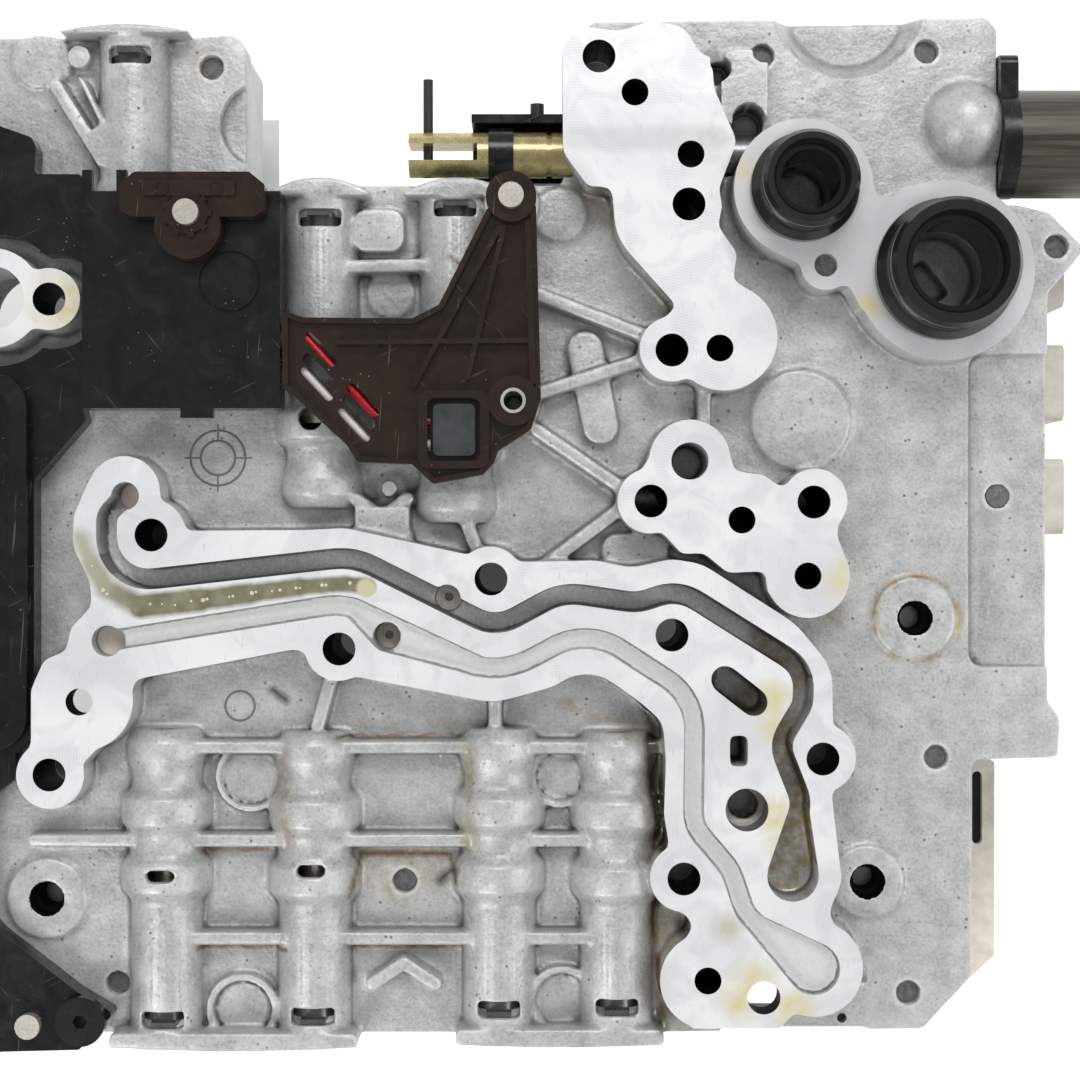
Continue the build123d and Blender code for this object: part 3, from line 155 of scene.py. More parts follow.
# Where oil and stains lie, in pixels of the picture: a blot is x, y, radius, softness; a stroke is
# x, y, x, y, radius, softness; a ring is x, y, radius, width, softness. The lengths are in millimetres
FILM = stains(LAND, [
    (140, 606, 200, 600, 2.4, 0.5), (200, 600, 250, 593.5, 2.1, 0.5), (250, 593.5, 300, 587, 1.8, 0.45),
    (300, 587, 345, 584, 1.6, 0.4), (345, 584, 368, 586, 1.6, 0.4), (140, 606, 106, 588, 2.1, 0.9),
    (106, 588, 90, 562, 2.1, 1.0), (90, 562, 80, 538, 1.7, 1.2)])
FILM_END = stains(LAND, [(366, 588, 1.9, 0.35)])
YELLOW = stains(LAND, [
    (843, 580, 2.8, 2.6), (772, 700, 3.2, 2.0), (773, 728, 2.4, 1.8), (777, 815, 3.2, 2.0),
    (776, 843, 2.0, 1.6), (752, 985, 4.0, 2.6), (738, 1004, 3.0, 2.2), (793, 1010, 3.6, 2.2),
    (66, 303, 5.5, 4.0), (740, 168, 2.2, 2.0), (866, 306, 2.6, 2.0)])
DULL_BANDS = stains(LAND, [(575, 138, 716, 138, 2.4, 0.8), (570, 165, 600, 205, 2.0, 1.5)])
SEAL_LAND = stains(LAND, [(800, 225, 930, 270, 15.5, 0.6), (804, 188, 14.5, 0.6), (944, 270, 18.4, 0.6)])
OLIVE = stains(LAND, [(728, 928, 2.6, 1.6)])
RINGS = stains(WEB, [(916, 618, 8.7, 0.4, 1.0)]) + [(-87.6, 47.8, 9.4, 0.3, 0.8)]
DEEP_OIL = stains(WEB, [
    (650, 738, 656, 800, 1.5, 0.5), (656, 800, 660, 835, 1.2, 0.5), (660, 835, 666, 862, 1.0, 0.6),
    (682, 924, 1.5, 0.9), (662, 880, 656, 905, 0.7, 0.7), (655, 1012, 664, 1028, 0.8, 0.8),
    (640, 700, 652, 728, 0.7, 0.7), (735, 163, 741, 183, 0.7, 0.7), (590, 190, 612, 200, 0.5, 0.6),
    (614, 215, 640, 262, 0.6, 0.6), (640, 262, 668, 302, 0.6, 0.6), (455, 868, 440, 880, 0.8, 0.8),
    (286, 700, 272, 690, 0.6, 0.8)])
BROWN = stains(WEB, [
    (362, 853, 450, 853, 0.45, 0.6), (450, 853, 456, 880, 0.35, 0.6), (362, 853, 352, 892, 0.35, 0.7),
    (352, 946, 460, 946, 0.3, 0.6), (202, 946, 288, 946, 0.3, 0.6), (205, 849, 268, 849, 0.2, 0.5),
    (660, 870, 652, 915, 0.6, 0.8), (652, 915, 662, 1015, 0.5, 0.8), (340, 735, 460, 735, 0.1, 0.5),
    (640, 690, 655, 730, 0.4, 0.8), (452, 262, 470, 275, 0.3, 0.8)])
AMBER = stains(WEB, [
    (668, 915, 672, 1010, 3.0, 2.6), (652, 735, 662, 860, 2.6, 1.4), (395, 880, 4.0, 4.0),
    (376, 868, 440, 868, 3.0, 3.0), (835, 612, 2.4, 2.2), (590, 190, 640, 262, 1.8, 1.6),
    (640, 262, 672, 306, 1.8, 1.6), (738, 176, 2.6, 2.2), (560, 700, 640, 735, 1.2, 1.4),
    (210, 65, 3.4, 1.0), (285, 748, 290, 842, 1.2, 1.6), (470, 748, 470, 842, 1.2, 1.6)])
CHANNEL_A = stains(LAND, [
    (112, 520, 112, 560, 2.6, 0.1), (112, 560, 150, 578, 2.6, 0.1), (150, 578, 350, 560, 2.4, 0.1),
    (350, 560, 490, 622, 2.4, 0.1), (490, 622, 562, 595, 2.4, 0.1), (562, 595, 638, 603, 2.4, 0.1),
    (638, 603, 678, 593, 2.4, 0.1), (678, 593, 770, 645, 2.4, 0.1), (770, 645, 800, 680, 2.6, 0.1),
    (800, 680, 779, 744, 2.6, 0.1), (779, 744, 800, 800, 2.6, 0.1), (799, 800, 794, 877, 4.6, 1.0)])
CHANNEL_OIL = stains(LAND, [
    (752, 702, 2.8, 1.0), (747, 804, 4.2, 0.8), (770, 640, 800, 672, 3.4, 1.4),
    (800, 672, 803, 712, 3.4, 0.8), (803, 712, 779, 745, 3.4, 0.8), (779, 745, 799, 800, 3.4, 0.8),
    (799, 800, 796, 877, 6.0, 1.0)])

# Bubbles in the oil film on the land: place and radius in pixels of the picture
BUBBLES = [
    (92, 566, 1.2), (90, 577, 0.9), (103, 590, 2.2), (107, 594, 1.6), (150, 604, 1.4), (162, 604, 1.1),
    (175, 605, 1.1), (191, 601, 1.3), (203, 600, 2.3), (207, 599, 1.7), (229, 597, 1.2), (233, 596, 1.6),
    (252, 593, 2.2), (256, 592, 1.4), (272, 591, 1.2), (280, 590, 1.7), (296, 588, 1.6), (300, 588, 1.2),
    (322, 585, 2.0), (326, 585, 1.6), (350, 583, 1.9)]


class Graph:
    """Short names for building one material's nodes."""

    def __init__(self, name):
        self.material = bpy.data.materials.new(name)
        self.material.use_nodes = True
        self.tree = self.material.node_tree
        self.bsdf = self.tree.nodes["Principled BSDF"]

    def node(self, kind, inputs=(), **settings):
        made = self.tree.nodes.new(kind)
        for key, value in settings.items():
            setattr(made, key, value)
        for key, value in dict(inputs).items():
            self.put(made.inputs[key], value)
        return made

    def put(self, socket, value):
        if isinstance(value, bpy.types.NodeSocket):
            self.tree.links.new(value, socket)
        else:
            socket.default_value = value

    def math(self, operation, a, b=0.0, clamp=False):
        made = self.node("ShaderNodeMath", {0: a, 1: b}, operation=operation, use_clamp=clamp)
        return made.outputs[0]

    def vector(self, operation, a, b=(0, 0, 0), output=0):
        return self.node("ShaderNodeVectorMath", {0: a, 1: b}, operation=operation).outputs[output]

    def scaled(self, vector, scale):
        return self.node("ShaderNodeVectorMath", {0: vector, "Scale": scale}, operation="SCALE").outputs[0]

    def place(self, scale=1.0):
        """Object coordinates in millimetres, times scale."""
        return self.scaled(self.node("ShaderNodeTexCoord").outputs["Object"], 1000.0 * scale)

    def noise(self, scale, detail=3.0, roughness=0.5, vector=None, distortion=0.0):
        made = self.node("ShaderNodeTexNoise", {
            "Vector": vector or self.place(), "Scale": scale, "Detail": detail, "Roughness": roughness,
            "Distortion": distortion})
        return made.outputs["Fac"]

    def cells(self, scale, vector=None):
        """Distance to the nearest of many scattered points, in cells."""
        made = self.node("ShaderNodeTexVoronoi", {"Vector": vector or self.place(), "Scale": scale})
        return made.outputs["Distance"]

    def remap(self, value, low, high, out_low=0.0, out_high=1.0):
        made = self.node("ShaderNodeMapRange", {"Value": value, "From Min": low, "From Max": high,
                                                "To Min": out_low, "To Max": out_high})
        return made.outputs[0]

    def mix(self, factor, a, b):
        made = self.node("ShaderNodeMix", data_type="RGBA")
        self.put(made.inputs[0], factor)
        self.put(made.inputs[6], a)
        self.put(made.inputs[7], b)
        return made.outputs[2]

    def mix_value(self, factor, a, b):
        return self.node("ShaderNodeMix", {0: factor, 2: a, 3: b}).outputs[0]

    def bump(self, height, strength, distance, normal=None):
        inputs = {"Height": height, "Strength": strength, "Distance": distance * MM}
        if normal is not None:
            inputs["Normal"] = normal
        return self.node("ShaderNodeBump", inputs).outputs[0]

    def plan(self, wobble=0.0, scale=0.5):
        """Object coordinates in millimetres seen from above, with an uneven edge of that wobble."""
        at = self.place()
        if wobble:
            noise = self.node("ShaderNodeTexNoise", {"Vector": at, "Scale": scale, "Detail": 2.0})
            waves = self.vector("SUBTRACT", noise.outputs["Color"], (0.5, 0.5, 0.5))
            at = self.vector("ADD", at, self.scaled(waves, 2 * wobble))
        return self.vector("MULTIPLY", at, (1, 1, 0))

    def spots(self, at, items):
        """Mask that is 1 inside the blots, strokes and rings."""
        total = None
        for item in items:
            radius, soft = item[-2:]
            if len(item) == 6:
                start = Vector((item[0], item[1], 0))
                run = Vector((item[2], item[3], 0)) - start
                to = self.vector("SUBTRACT", at, start)
                along = self.vector("DOT_PRODUCT", to, run, "Value")
                share = self.math("MULTIPLY", along, 1 / run.length_squared, True)
                away = self.vector("DISTANCE", to, self.scaled(run, share), "Value")
            else:
                away = self.vector("DISTANCE", at, (item[0], item[1], 0), "Value")
            if len(item) == 5:
                away = self.math("ABSOLUTE", self.math("SUBTRACT", away, item[2]))
            mask = self.remap(away, max(radius - soft, 0.0), radius + soft, 1.0, 0.0)
            total = mask if total is None else self.math("MAXIMUM", total, mask)
        return total

    def set(self, **inputs):
        names = {"color": "Base Color", "metallic": "Metallic", "roughness": "Roughness", "normal": "Normal",
                 "coat": "Coat Weight", "coat_roughness": "Coat Roughness", "specular": "Specular IOR Level"}
        for key, value in inputs.items():
            self.put(self.bsdf.inputs[names[key]], value)
        return self.material


def rgb(red, green, blue):
    """Linear colour of an sRGB one given in 0 to 255."""
    def linear(value):
        value /= 255.0
        return value / 12.92 if value <= 0.04045 else ((value + 0.055) / 1.055) ** 2.4
    return (linear(red), linear(green), linear(blue), 1.0)


def cast_skin(g):
    """Colour and grain of a die-cast surface: cloudy grey with pores and dirt, painted shade in the inside
    corners, and a painted highlight with some wear on the outside edges.
    """
    blotch = g.noise(0.16, 4.0, 0.65)
    grain = g.noise(1.5, 3.0, 0.7)
    skin = g.mix(g.remap(blotch, 0.35, 0.65), rgb(158, 160, 159), rgb(190, 191, 189))
    skin = g.mix(g.remap(grain, 0.4, 0.75, 0.0, 0.45), skin, rgb(218, 219, 218))
    skin = g.mix(g.remap(grain, 0.42, 0.25, 0.0, 0.55), skin, rgb(112, 113, 112))
    pores = g.remap(g.cells(0.42), 0.10, 0.17, 1.0, 0.0)
    pores = g.math("MULTIPLY", g.math("MULTIPLY", pores, g.remap(blotch, 0.5, 0.56)), 0.75)
    skin = g.mix(pores, skin, rgb(72, 72, 70))
    point = g.node("ShaderNodeNewGeometry").outputs["Pointiness"]
    # Painted shade: inside corners, where pointiness is low, turn dark grey
    skin = g.mix(g.remap(point, 0.497, 0.455, 0.0, 0.8), skin, rgb(52, 52, 49))
    # Painted highlight with some wear: outside edges, where pointiness is high, turn pale
    skin = g.mix(g.remap(point, 0.51, 0.56, 0.0, 0.4), skin, rgb(232, 233, 234))
    return skin, grain


def lower_cast_material():
    """Cast aluminium of the lower casting, with painted shade: near black in and around the bolt holes."""
    g = Graph("lower_casting")
    skin, grain = cast_skin(g)
    holes = BOLT_HOLES + DOWEL_HOLES + BOSS_HOLES
    # Painted shade: near black over each hole and 2 mm around its rim
    inside = g.spots(g.plan(), [(x, y, r + 2.0, 0.02) for x, y, r, low in holes])
    skin = g.mix(g.math("MULTIPLY", inside, 0.93), skin, rgb(16, 16, 15))
    return g.set(color=skin, roughness=0.5, metallic=0.1, normal=g.bump(grain, 0.35, 0.15))


def cast_material():
    """Cast aluminium with wet and stained places."""
    g = Graph("cast_aluminium")
    skin, grain = cast_skin(g)
    edge = g.plan(0.5, 0.35)
    uneven = g.noise(0.3, 3.0, 0.6)
    amber = g.math("MULTIPLY", g.spots(edge, AMBER), g.remap(uneven, 0.35, 0.65, 0.05, 0.7))
    skin = g.mix(amber, skin, rgb(140, 118, 70))
    rings = g.math("MULTIPLY", g.spots(edge, RINGS), g.remap(uneven, 0.4, 0.6, 0.1, 0.8))
    skin = g.mix(rings, skin, rgb(150, 120, 62))
    brown = g.math("MULTIPLY", g.spots(edge, BROWN), g.remap(uneven, 0.3, 0.55, 0.4, 0.95))
    skin = g.mix(brown, skin, rgb(104, 72, 30))
    rims = g.spots(g.plan(), [(x, y, 2.9, 0.3, 0.3) for x, y, r, low in SCREW_HOLES])
    skin = g.mix(g.math("MULTIPLY", rims, 0.4), skin, rgb(225, 225, 222))
    deep = g.spots(edge, DEEP_OIL)
    skin = g.mix(g.math("MULTIPLY", deep, 0.9), skin, rgb(44, 38, 24))
    wet = g.math("MAXIMUM", deep, g.math("MULTIPLY", amber, 0.6))
    height = g.bump(grain, 0.55, 0.16, g.bump(g.noise(0.6, 2.0), 0.45, 0.35))
    rough = g.remap(grain, 0.0, 1.0, 0.32, 0.5)
    return g.set(color=skin, roughness=rough, metallic=0.3, normal=height, coat=wet, coat_roughness=0.04)


def milled_material():
    """Milled lands: broad cutter passes, fine arcs, scuffs, an oil film and pale yellow stains."""
    g = Graph("milled_aluminium")
    plan = g.plan()
    edge = g.plan(0.5, 0.35)
    uneven = g.noise(0.3, 2.0)
    passes = g.cells(0.03, g.vector("MULTIPLY", plan, (1.0, 1.7, 1.0)))
    arcs = g.node("ShaderNodeTexWave", {"Vector": g.vector("SUBTRACT", plan, (30.0, -60.0, 0)), "Scale": 0.55,
                                        "Distortion": 3.0, "Detail": 1.0, "Detail Scale": 0.08},
                  wave_type="RINGS", rings_direction="Z").outputs["Fac"]
    patch = g.noise(0.08, 2.0, 0.5, distortion=2.0)
    land = g.mix(g.remap(passes, 0.2, 0.7), rgb(218, 219, 221), rgb(237, 237, 238))
    land = g.mix(g.remap(patch, 0.42, 0.62, 0.0, 0.35), land, rgb(202, 203, 208))
    land = g.mix(g.math("MULTIPLY", g.remap(arcs, 0.6, 1.0), g.remap(patch, 0.46, 0.62, 0.0, 0.22)), land,
                 rgb(160, 160, 166))
    scuff = g.noise(2.6, 1.0, 0.5, g.vector("MULTIPLY", plan, (1.0, 0.12, 1.0)))
    land = g.mix(g.remap(scuff, 0.68, 0.74, 0.0, 0.25), land, rgb(150, 150, 152))
    land = g.mix(g.math("MULTIPLY", g.spots(plan, DULL_BANDS), 0.35), land, rgb(180, 180, 180))
    land = g.mix(g.math("MULTIPLY", g.spots(plan, SEAL_LAND), 0.55), land, rgb(192, 192, 194))
    land = g.mix(g.math("MULTIPLY", g.spots(edge, YELLOW), g.remap(uneven, 0.3, 0.6, 0.4, 1.0)), land,
                 rgb(216, 205, 160))
    land = g.mix(g.math("MULTIPLY", g.spots(edge, OLIVE), 0.6), land, rgb(172, 168, 140))
    film = g.spots(g.plan(0.25, 0.5), FILM)
    depth = g.remap(g.node("ShaderNodeSeparateXYZ", {0: plan}).outputs[0], -70.0, -58.0)
    deep_oil = g.mix(g.remap(uneven, 0.35, 0.65), rgb(112, 108, 84), rgb(140, 136, 110))
    oil = g.mix(depth, rgb(180, 178, 160), deep_oil)
    land = g.mix(film, land, oil)
    land = g.mix(g.spots(plan, FILM_END), land, rgb(204, 199, 166))
    return g.set(color=land, roughness=g.remap(patch, 0.0, 1.0, 0.28, 0.44), metallic=0.25,
                 normal=g.bump(arcs, 0.04, 0.02), coat=film, coat_roughness=0.04)


def channel_material():
    """Floor and walls of the deep channel: a near white floor as painted light, darker walls as painted
    shade, and wet amber towards its pool.
    """
    g = Graph("oily_channel")
    grain = g.noise(1.5, 3.0, 0.7)
    uneven = g.noise(0.5, 3.0)
    normal = g.node("ShaderNodeNewGeometry").outputs["True Normal"]
    level = g.remap(g.node("ShaderNodeSeparateXYZ", {0: normal}).outputs[2], 0.5, 0.9)
    # Painted light: the up-facing floor is near white
    bottom = g.mix(g.remap(grain, 0.35, 0.7), rgb(214, 214, 212), rgb(248, 248, 246))
    # Painted shade: faces that don't face up take a darker grey
    skin = g.mix(level, rgb(120, 120, 118), bottom)
    oil = g.spots(g.plan(), CHANNEL_OIL)
    amber = g.mix(g.remap(uneven, 0.4, 0.62), rgb(84, 62, 28), rgb(126, 106, 60))
    strength = g.mix_value(level, 0.92, g.remap(uneven, 0.35, 0.65, 0.5, 0.92))
    skin = g.mix(g.math("MULTIPLY", oil, strength), skin, amber)
    return g.set(color=skin, roughness=0.4, metallic=0.2, normal=g.bump(grain, 0.5, 0.15), coat=oil,
                 coat_roughness=0.04)


def plain_material(name, color, roughness, metallic=0.0, spread=0.12, scale=0.3, bump=0.15, specular=0.5):
    """Even finish with a little mottling, fine grain and roughness that varies."""
    g = Graph(name)
    patch = g.noise(scale, 4.0, 0.6)
    fine = g.noise(scale * 9, 3.0, 0.6)
    dark = tuple(c * (1 - spread) for c in color[:3]) + (1.0,)
    light = tuple(min(1.0, c * (1 + spread)) for c in color[:3]) + (1.0,)
    shade = g.mix(g.remap(patch, 0.3, 0.7), dark, light)
    rough = g.remap(fine, 0.3, 0.7, roughness * 0.8, roughness * 1.25)
    return g.set(color=shade, roughness=rough, metallic=metallic, normal=g.bump(fine, bump, 0.05),
                 specular=specular)


def moulded_material(name, color, wear_dust_and_glint, roughness=0.22):
    """Oily moulded plastic: dark and glossy, with fine scratches, pale dots of dust and painted glints, and
    wiped patches.
    """
    g = Graph(name)
    at = g.place()
    smear = g.noise(0.12, 4.0, 0.65, distortion=1.0)
    shade = g.mix(g.remap(smear, 0.35, 0.7), color, tuple(c * 1.7 for c in color[:3]) + (1.0,))
    marks = None
    for turn, thin in ((0.45, 0.75), (-0.9, 0.76), (1.5, 0.75)):
        turned = g.node("ShaderNodeMapping", {
            "Vector": at, "Rotation": (0, 0, turn), "Scale": (14.0, 0.4, 2.0)}, vector_type="TEXTURE")
        line = g.remap(g.noise(1.0, 1.0, 0.4, turned.outputs[0]), thin, thin + 0.03)
        marks = line if marks is None else g.math("MAXIMUM", marks, line)
    shade = g.mix(g.math("MULTIPLY", marks, 0.25), shade, wear_dust_and_glint)
    # Pale specks: dust, with painted glints standing in for small highlights
    specks = g.remap(g.cells(0.55, at), 0.06, 0.10, 1.0, 0.0)
    specks = g.math("MULTIPLY", specks, g.remap(g.noise(0.15), 0.5, 0.6))
    shade = g.mix(g.math("MULTIPLY", specks, 0.8), shade, wear_dust_and_glint)
    rough = g.remap(smear, 0.3, 0.7, roughness * 0.6, roughness * 1.6)
    rough = g.math("ADD", rough, g.math("MULTIPLY", marks, 0.2))
    soft = g.bump(g.noise(0.35, 2.0), 0.2, 0.3)
    rippled = g.bump(g.noise(2.5, 2.0), 0.12, 0.05, soft)
    return g.set(color=shade, roughness=rough, specular=0.42, normal=rippled)


def drawn_steel_material():
    """Drawn steel of the solenoid can: brownish, streaked along its length."""
    g = Graph("drawn_steel")
    along = g.vector("MULTIPLY", g.place(), (0.03, 1.0, 1.0))
    streak = g.noise(1.2, 4.0, 0.6, along)
    shade = g.mix(g.remap(streak, 0.35, 0.65), rgb(62, 58, 52), rgb(92, 88, 80))
    return g.set(color=shade, roughness=g.remap(streak, 0.3, 0.7, 0.3, 0.45), metallic=0.55)


MATERIALS = {
    "cast": cast_material(),
    "milled": milled_material(),
    "channel": channel_material(),
    "hole": plain_material("hole_shade", rgb(12, 12, 11), 0.6, 0.0, bump=0.05, specular=0.1),
    "shallow": plain_material("shallow_channel", rgb(206, 207, 204), 0.5, 0.1, spread=0.06, scale=1.2,
                              bump=0.3),
    # Port floors: pinkish grey, raised to near white as painted light at the bottom of the deep ports
    "port": plain_material("port_floor", rgb(244, 230, 220), 0.4, 0.1),
    "lower": lower_cast_material(),
    "black": moulded_material("black_plastic", rgb(13, 13, 14), rgb(120, 118, 112)),
    "brown": moulded_material("brown_plastic", rgb(34, 24, 18), rgb(140, 130, 118), 0.14),
    "chip": plain_material("chip_grey", rgb(58, 62, 62), 0.18, spread=0.25),
    "steel": plain_material("bright_steel", rgb(212, 206, 196), 0.3, 0.75, bump=0.1),
    "tip": plain_material("screw_tip", rgb(116, 117, 115), 0.25, 0.4, spread=0.35, scale=0.9),
    "screw": plain_material("dark_screw", rgb(30, 30, 30), 0.25, 0.3, spread=0.3),
    "insert": plain_material("orifice_insert", rgb(236, 226, 216), 0.4, 0.0, spread=0.15, scale=0.8),
    "clip": plain_material("clip_steel", rgb(96, 98, 96), 0.25, 0.6, spread=0.3),
    "dark_steel": plain_material("black_steel", rgb(58, 57, 54), 0.35, 0.5),
    "can": drawn_steel_material(),
    "sheet": plain_material("sheet_steel", rgb(160, 162, 165), 0.35, 0.7),
    "spring": plain_material("spring_steel", rgb(130, 130, 132), 0.3, 0.8),
    "brass": plain_material("brass_chromate", rgb(176, 162, 114), 0.26, 0.6, spread=0.25, scale=0.5),
    "rubber": plain_material("seal_rubber", rgb(27, 27, 28), 0.2, spread=0.1, bump=0.02, specular=0.45),
    # Seal sleeves: black, darker than the seal rubber as painted shade deep inside the seals
    "sleeve": plain_material("seal_sleeve", rgb(9, 10, 13), 0.12, spread=0.2, bump=0.02),
    "beige": plain_material("beige_plastic", rgb(212, 205, 193), 0.45),
    "plate": plain_material("heat_plate", rgb(200, 200, 200), 0.35, 0.7),
    "red": plain_material("red_lead", rgb(190, 26, 40), 0.25),
    "white": plain_material("white_lead", rgb(232, 228, 222), 0.3),
    "bubble": plain_material("bubble", rgb(204, 199, 172), 0.08, bump=0.0),
    "mark": plain_material("mould_mark", rgb(112, 113, 110), 0.5, 0.2),
}
NODES_OF_LOOK = {
    "cast": ["channel_plate"],
    "lower": ["valve_plate"],
    "sheet": ["separator_plate", "regulator_clamps"],
    "black": ["control_module_housing", "module_cover", "connector_sleeve", "park_band", "park_carrier",
              "park_solenoid_ring"],
    "plate": ["module_heat_plate"],
    "rubber": ["connector_ring", "small_bridge_seal", "large_bridge_seal"],
    "steel": ["connector_pins", "sensor_bush", "locating_pins", "park_plunger", "pressure_regulators"],
    "brown": ["speed_sensor_arm", "second_sensor"],
    "chip": ["sensor_chip"],
    "screw": ["module_screws"],
    "red": ["sensor_lead_red"],
    "white": ["sensor_lead_white"],
    "sleeve": ["small_seal_sleeve", "large_seal_sleeve"],
    "insert": ["orifice_inserts"],
    "brass": ["park_piston"],
    "dark_steel": ["park_cross_pin", "park_latch_pin"],
    "spring": ["park_spring"],
    "can": ["park_solenoid_can"],
    "beige": ["regulator_heads", "beige_plate"],
    "tip": ["plate_screws"],
    "clip": ["bore_plugs", "plug_clips"],
}
LOOK = {node: look for look, members in NODES_OF_LOOK.items() for node in members}
for name, node in nodes.items():
    look = LOOK.get(name, "spring" if "spring" in name else "steel")
    node.data.materials.clear()
    node.data.materials.append(MATERIALS[look])


def evaluated(obj):
    """The object's mesh with its modifiers applied, left on it in their place."""
    graph = bpy.context.evaluated_depsgraph_get()
    mesh = bpy.data.meshes.new_from_object(obj.evaluated_get(graph), depsgraph=graph)
    obj.modifiers.clear()
    obj.data = mesh
    return mesh


def finished(bm, name):
    """Mesh of the drawn bm, which is freed."""
    mesh = bpy.data.meshes.new(name)
    bm.to_mesh(mesh)
    bm.free()
    return mesh


def add_object(name, mesh):
    """Object in the scene with that mesh."""
    obj = bpy.data.objects.new(name, mesh)
    scene.collection.objects.link(obj)
    return obj


def add_piece(name, mesh, look, body):
    """A drawn piece with its look, carried by a body."""
    piece = add_object(name, mesh)
    piece.data.materials.clear()
    piece.data.materials.append(MATERIALS[look])
    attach(piece, body)
    return piece


def rods(name, specs, segments=48):
    """One mesh of closed cylinders: start, end and radius in millimetres, or a taper's two radii."""
    bm = bmesh.new()
    for start, end, radius in specs:
        low_r, high_r = radius if isinstance(radius, tuple) else (radius, radius)
        a, b = Vector(start) * MM, Vector(end) * MM
        turn = (b - a).to_track_quat("Z", "Y").to_matrix().to_4x4()
        bmesh.ops.create_cone(bm, cap_ends=True, segments=segments, radius1=low_r * MM, radius2=high_r * MM,
                              depth=(b - a).length, matrix=Matrix.Translation((a + b) / 2) @ turn)
    return finished(bm, name)


def tube(name, path, radius, sides=10, closed=False):
    """Round wire along a path of points in metres, closed in a loop or capped at both ends."""
    path = [Vector(p) for p in path]
    count = len(path)
    verts, faces = [], []
    up = Vector((0, 0, 1))
    for i, p in enumerate(path):
        after = path[(i + 1) % count] if closed or i + 1 < count else p
        before = path[i - 1] if closed or i else p
        along = (after - before).normalized()
        side = along.cross(up if abs(along.z) < 0.9 else Vector((1, 0, 0))).normalized()
        lift = side.cross(along)
        for k in range(sides):
            turn = 2 * math.pi * k / sides
            verts.append(p + (side * math.cos(turn) + lift * math.sin(turn)) * radius)
    for i in range(count if closed else count - 1):
        for k in range(sides):
            a, b = i * sides, ((i + 1) % count) * sides
            n = (k + 1) % sides
            faces.append((a + k, a + n, b + n, b + k))
    if not closed:
        faces.append(tuple(reversed(range(sides))))
        faces.append(tuple((count - 1) * sides + k for k in range(sides)))
    mesh = bpy.data.meshes.new(name)
    mesh.from_pydata([tuple(v) for v in verts], [], faces)
    mesh.shade_smooth()
    return mesh


def fill_hollows(mesh, rounds, rate=0.5):
    """Rounds the inside corners only: each vertex moves out towards its neighbours' middle, and never in."""
    count = len(mesh.vertices)
    co = np.empty(count * 3)
    mesh.vertices.foreach_get("co", co)
    co = co.reshape(-1, 3)
    edges = np.empty(len(mesh.edges) * 2, np.int64)
    mesh.edges.foreach_get("vertices", edges)
    edges = edges.reshape(-1, 2)
    ends = np.concatenate([edges[:, 0], edges[:, 1]])
    others = np.concatenate([edges[:, 1], edges[:, 0]])
    degree = np.bincount(ends, minlength=count)
    for _ in range(rounds):
        mesh.vertices.foreach_set("co", co.ravel())
        mesh.update()
        normal = np.empty(count * 3, np.float32)
        mesh.vertex_normals.foreach_get("vector", normal)
        normal = normal.reshape(-1, 3)
        middle = np.stack([np.bincount(ends, weights=co[others, k], minlength=count) for k in range(3)], 1)
        pull = middle / degree[:, None] - co
        out = (pull * normal).sum(1)
        co += rate * np.maximum(out, 0)[:, None] * normal
    mesh.vertices.foreach_set("co", co.ravel())
    mesh.update()


def away_from(points, stroke):
    """Distance in plan of each point from a stroke's middle line, all in millimetres."""
    start, run = np.array(stroke[:2]), np.array(stroke[2:4]) - np.array(stroke[:2])
    share = np.clip((points - start) @ run / (run @ run), 0, 1)
    return np.linalg.norm(points - start - share[:, None] * run, axis=1)


FINISHES = ("cast", "milled", "channel", "hole", "port", "shallow")
HOLE_MARGIN = 0.1
# The lower bores' barrels lie below this Y and left of this X, and their crests stay cast skin
BARREL_END_Y = -36
BARREL_RIGHT_X = 46


def sort_faces(mesh):
    """Gives each face of the casting its finish by its height, its slope and its place in plan: painted shade
    in the holes and on the channel walls, painted light on the channel and port floors.
    """
    mesh.materials.clear()
    for look in FINISHES:
        mesh.materials.append(MATERIALS[look])
    centre = np.empty(len(mesh.polygons) * 3, np.float32)
    normal = np.empty(len(mesh.polygons) * 3, np.float32)
    mesh.polygons.foreach_get("center", centre)
    mesh.polygons.foreach_get("normal", normal)
    centre = centre.reshape(-1, 3) / MM
    up = normal.reshape(-1, 3)[:, 2]
    plan, height = centre[:, :2], centre[:, 2]
    finish = np.zeros(len(centre), np.int32)

    def in_hole(x, y, radius):
        return np.hypot(plan[:, 0] - x, plan[:, 1] - y) < radius

    below_land = height < LAND - 0.05
    for stroke in CHANNEL_A:
        in_channel = away_from(plan, stroke) < stroke[4]
        finish[below_land & (height > WEB - 0.5) & in_channel] = FINISHES.index("channel")
    off_barrels = (plan[:, 1] > BARREL_END_Y) | (plan[:, 0] > BARREL_RIGHT_X)
    shallow = (plan[:, 1] < 0) & off_barrels & (up > 0.75)
    finish[shallow & (height > SHALLOW - 0.4) & (height < SHALLOW + 1.2)] = FINISHES.index("shallow")
    for x, y, r, low in STEPPED_PORT + [SLOT_FLOOR]:
        finish[below_land & in_hole(x, y, r + HOLE_MARGIN)] = FINISHES.index("channel")
    for x, y, r, low in BOLT_HOLES + DOWEL_HOLES + [DOWEL_THROUGH] + BOSS_HOLES:
        finish[below_land & in_hole(x, y, r + HOLE_MARGIN)] = FINISHES.index("hole")
    for x, y, r, low in CHANNEL_PORTS:
        finish[(up > 0.9) & (height < low + 0.1) & in_hole(x, y, r)] = FINISHES.index("port")
    finish[(up > 0.995) & (height > LAND - 0.12)] = FINISHES.index("milled")
    mesh.polygons.foreach_set("material_index", finish)


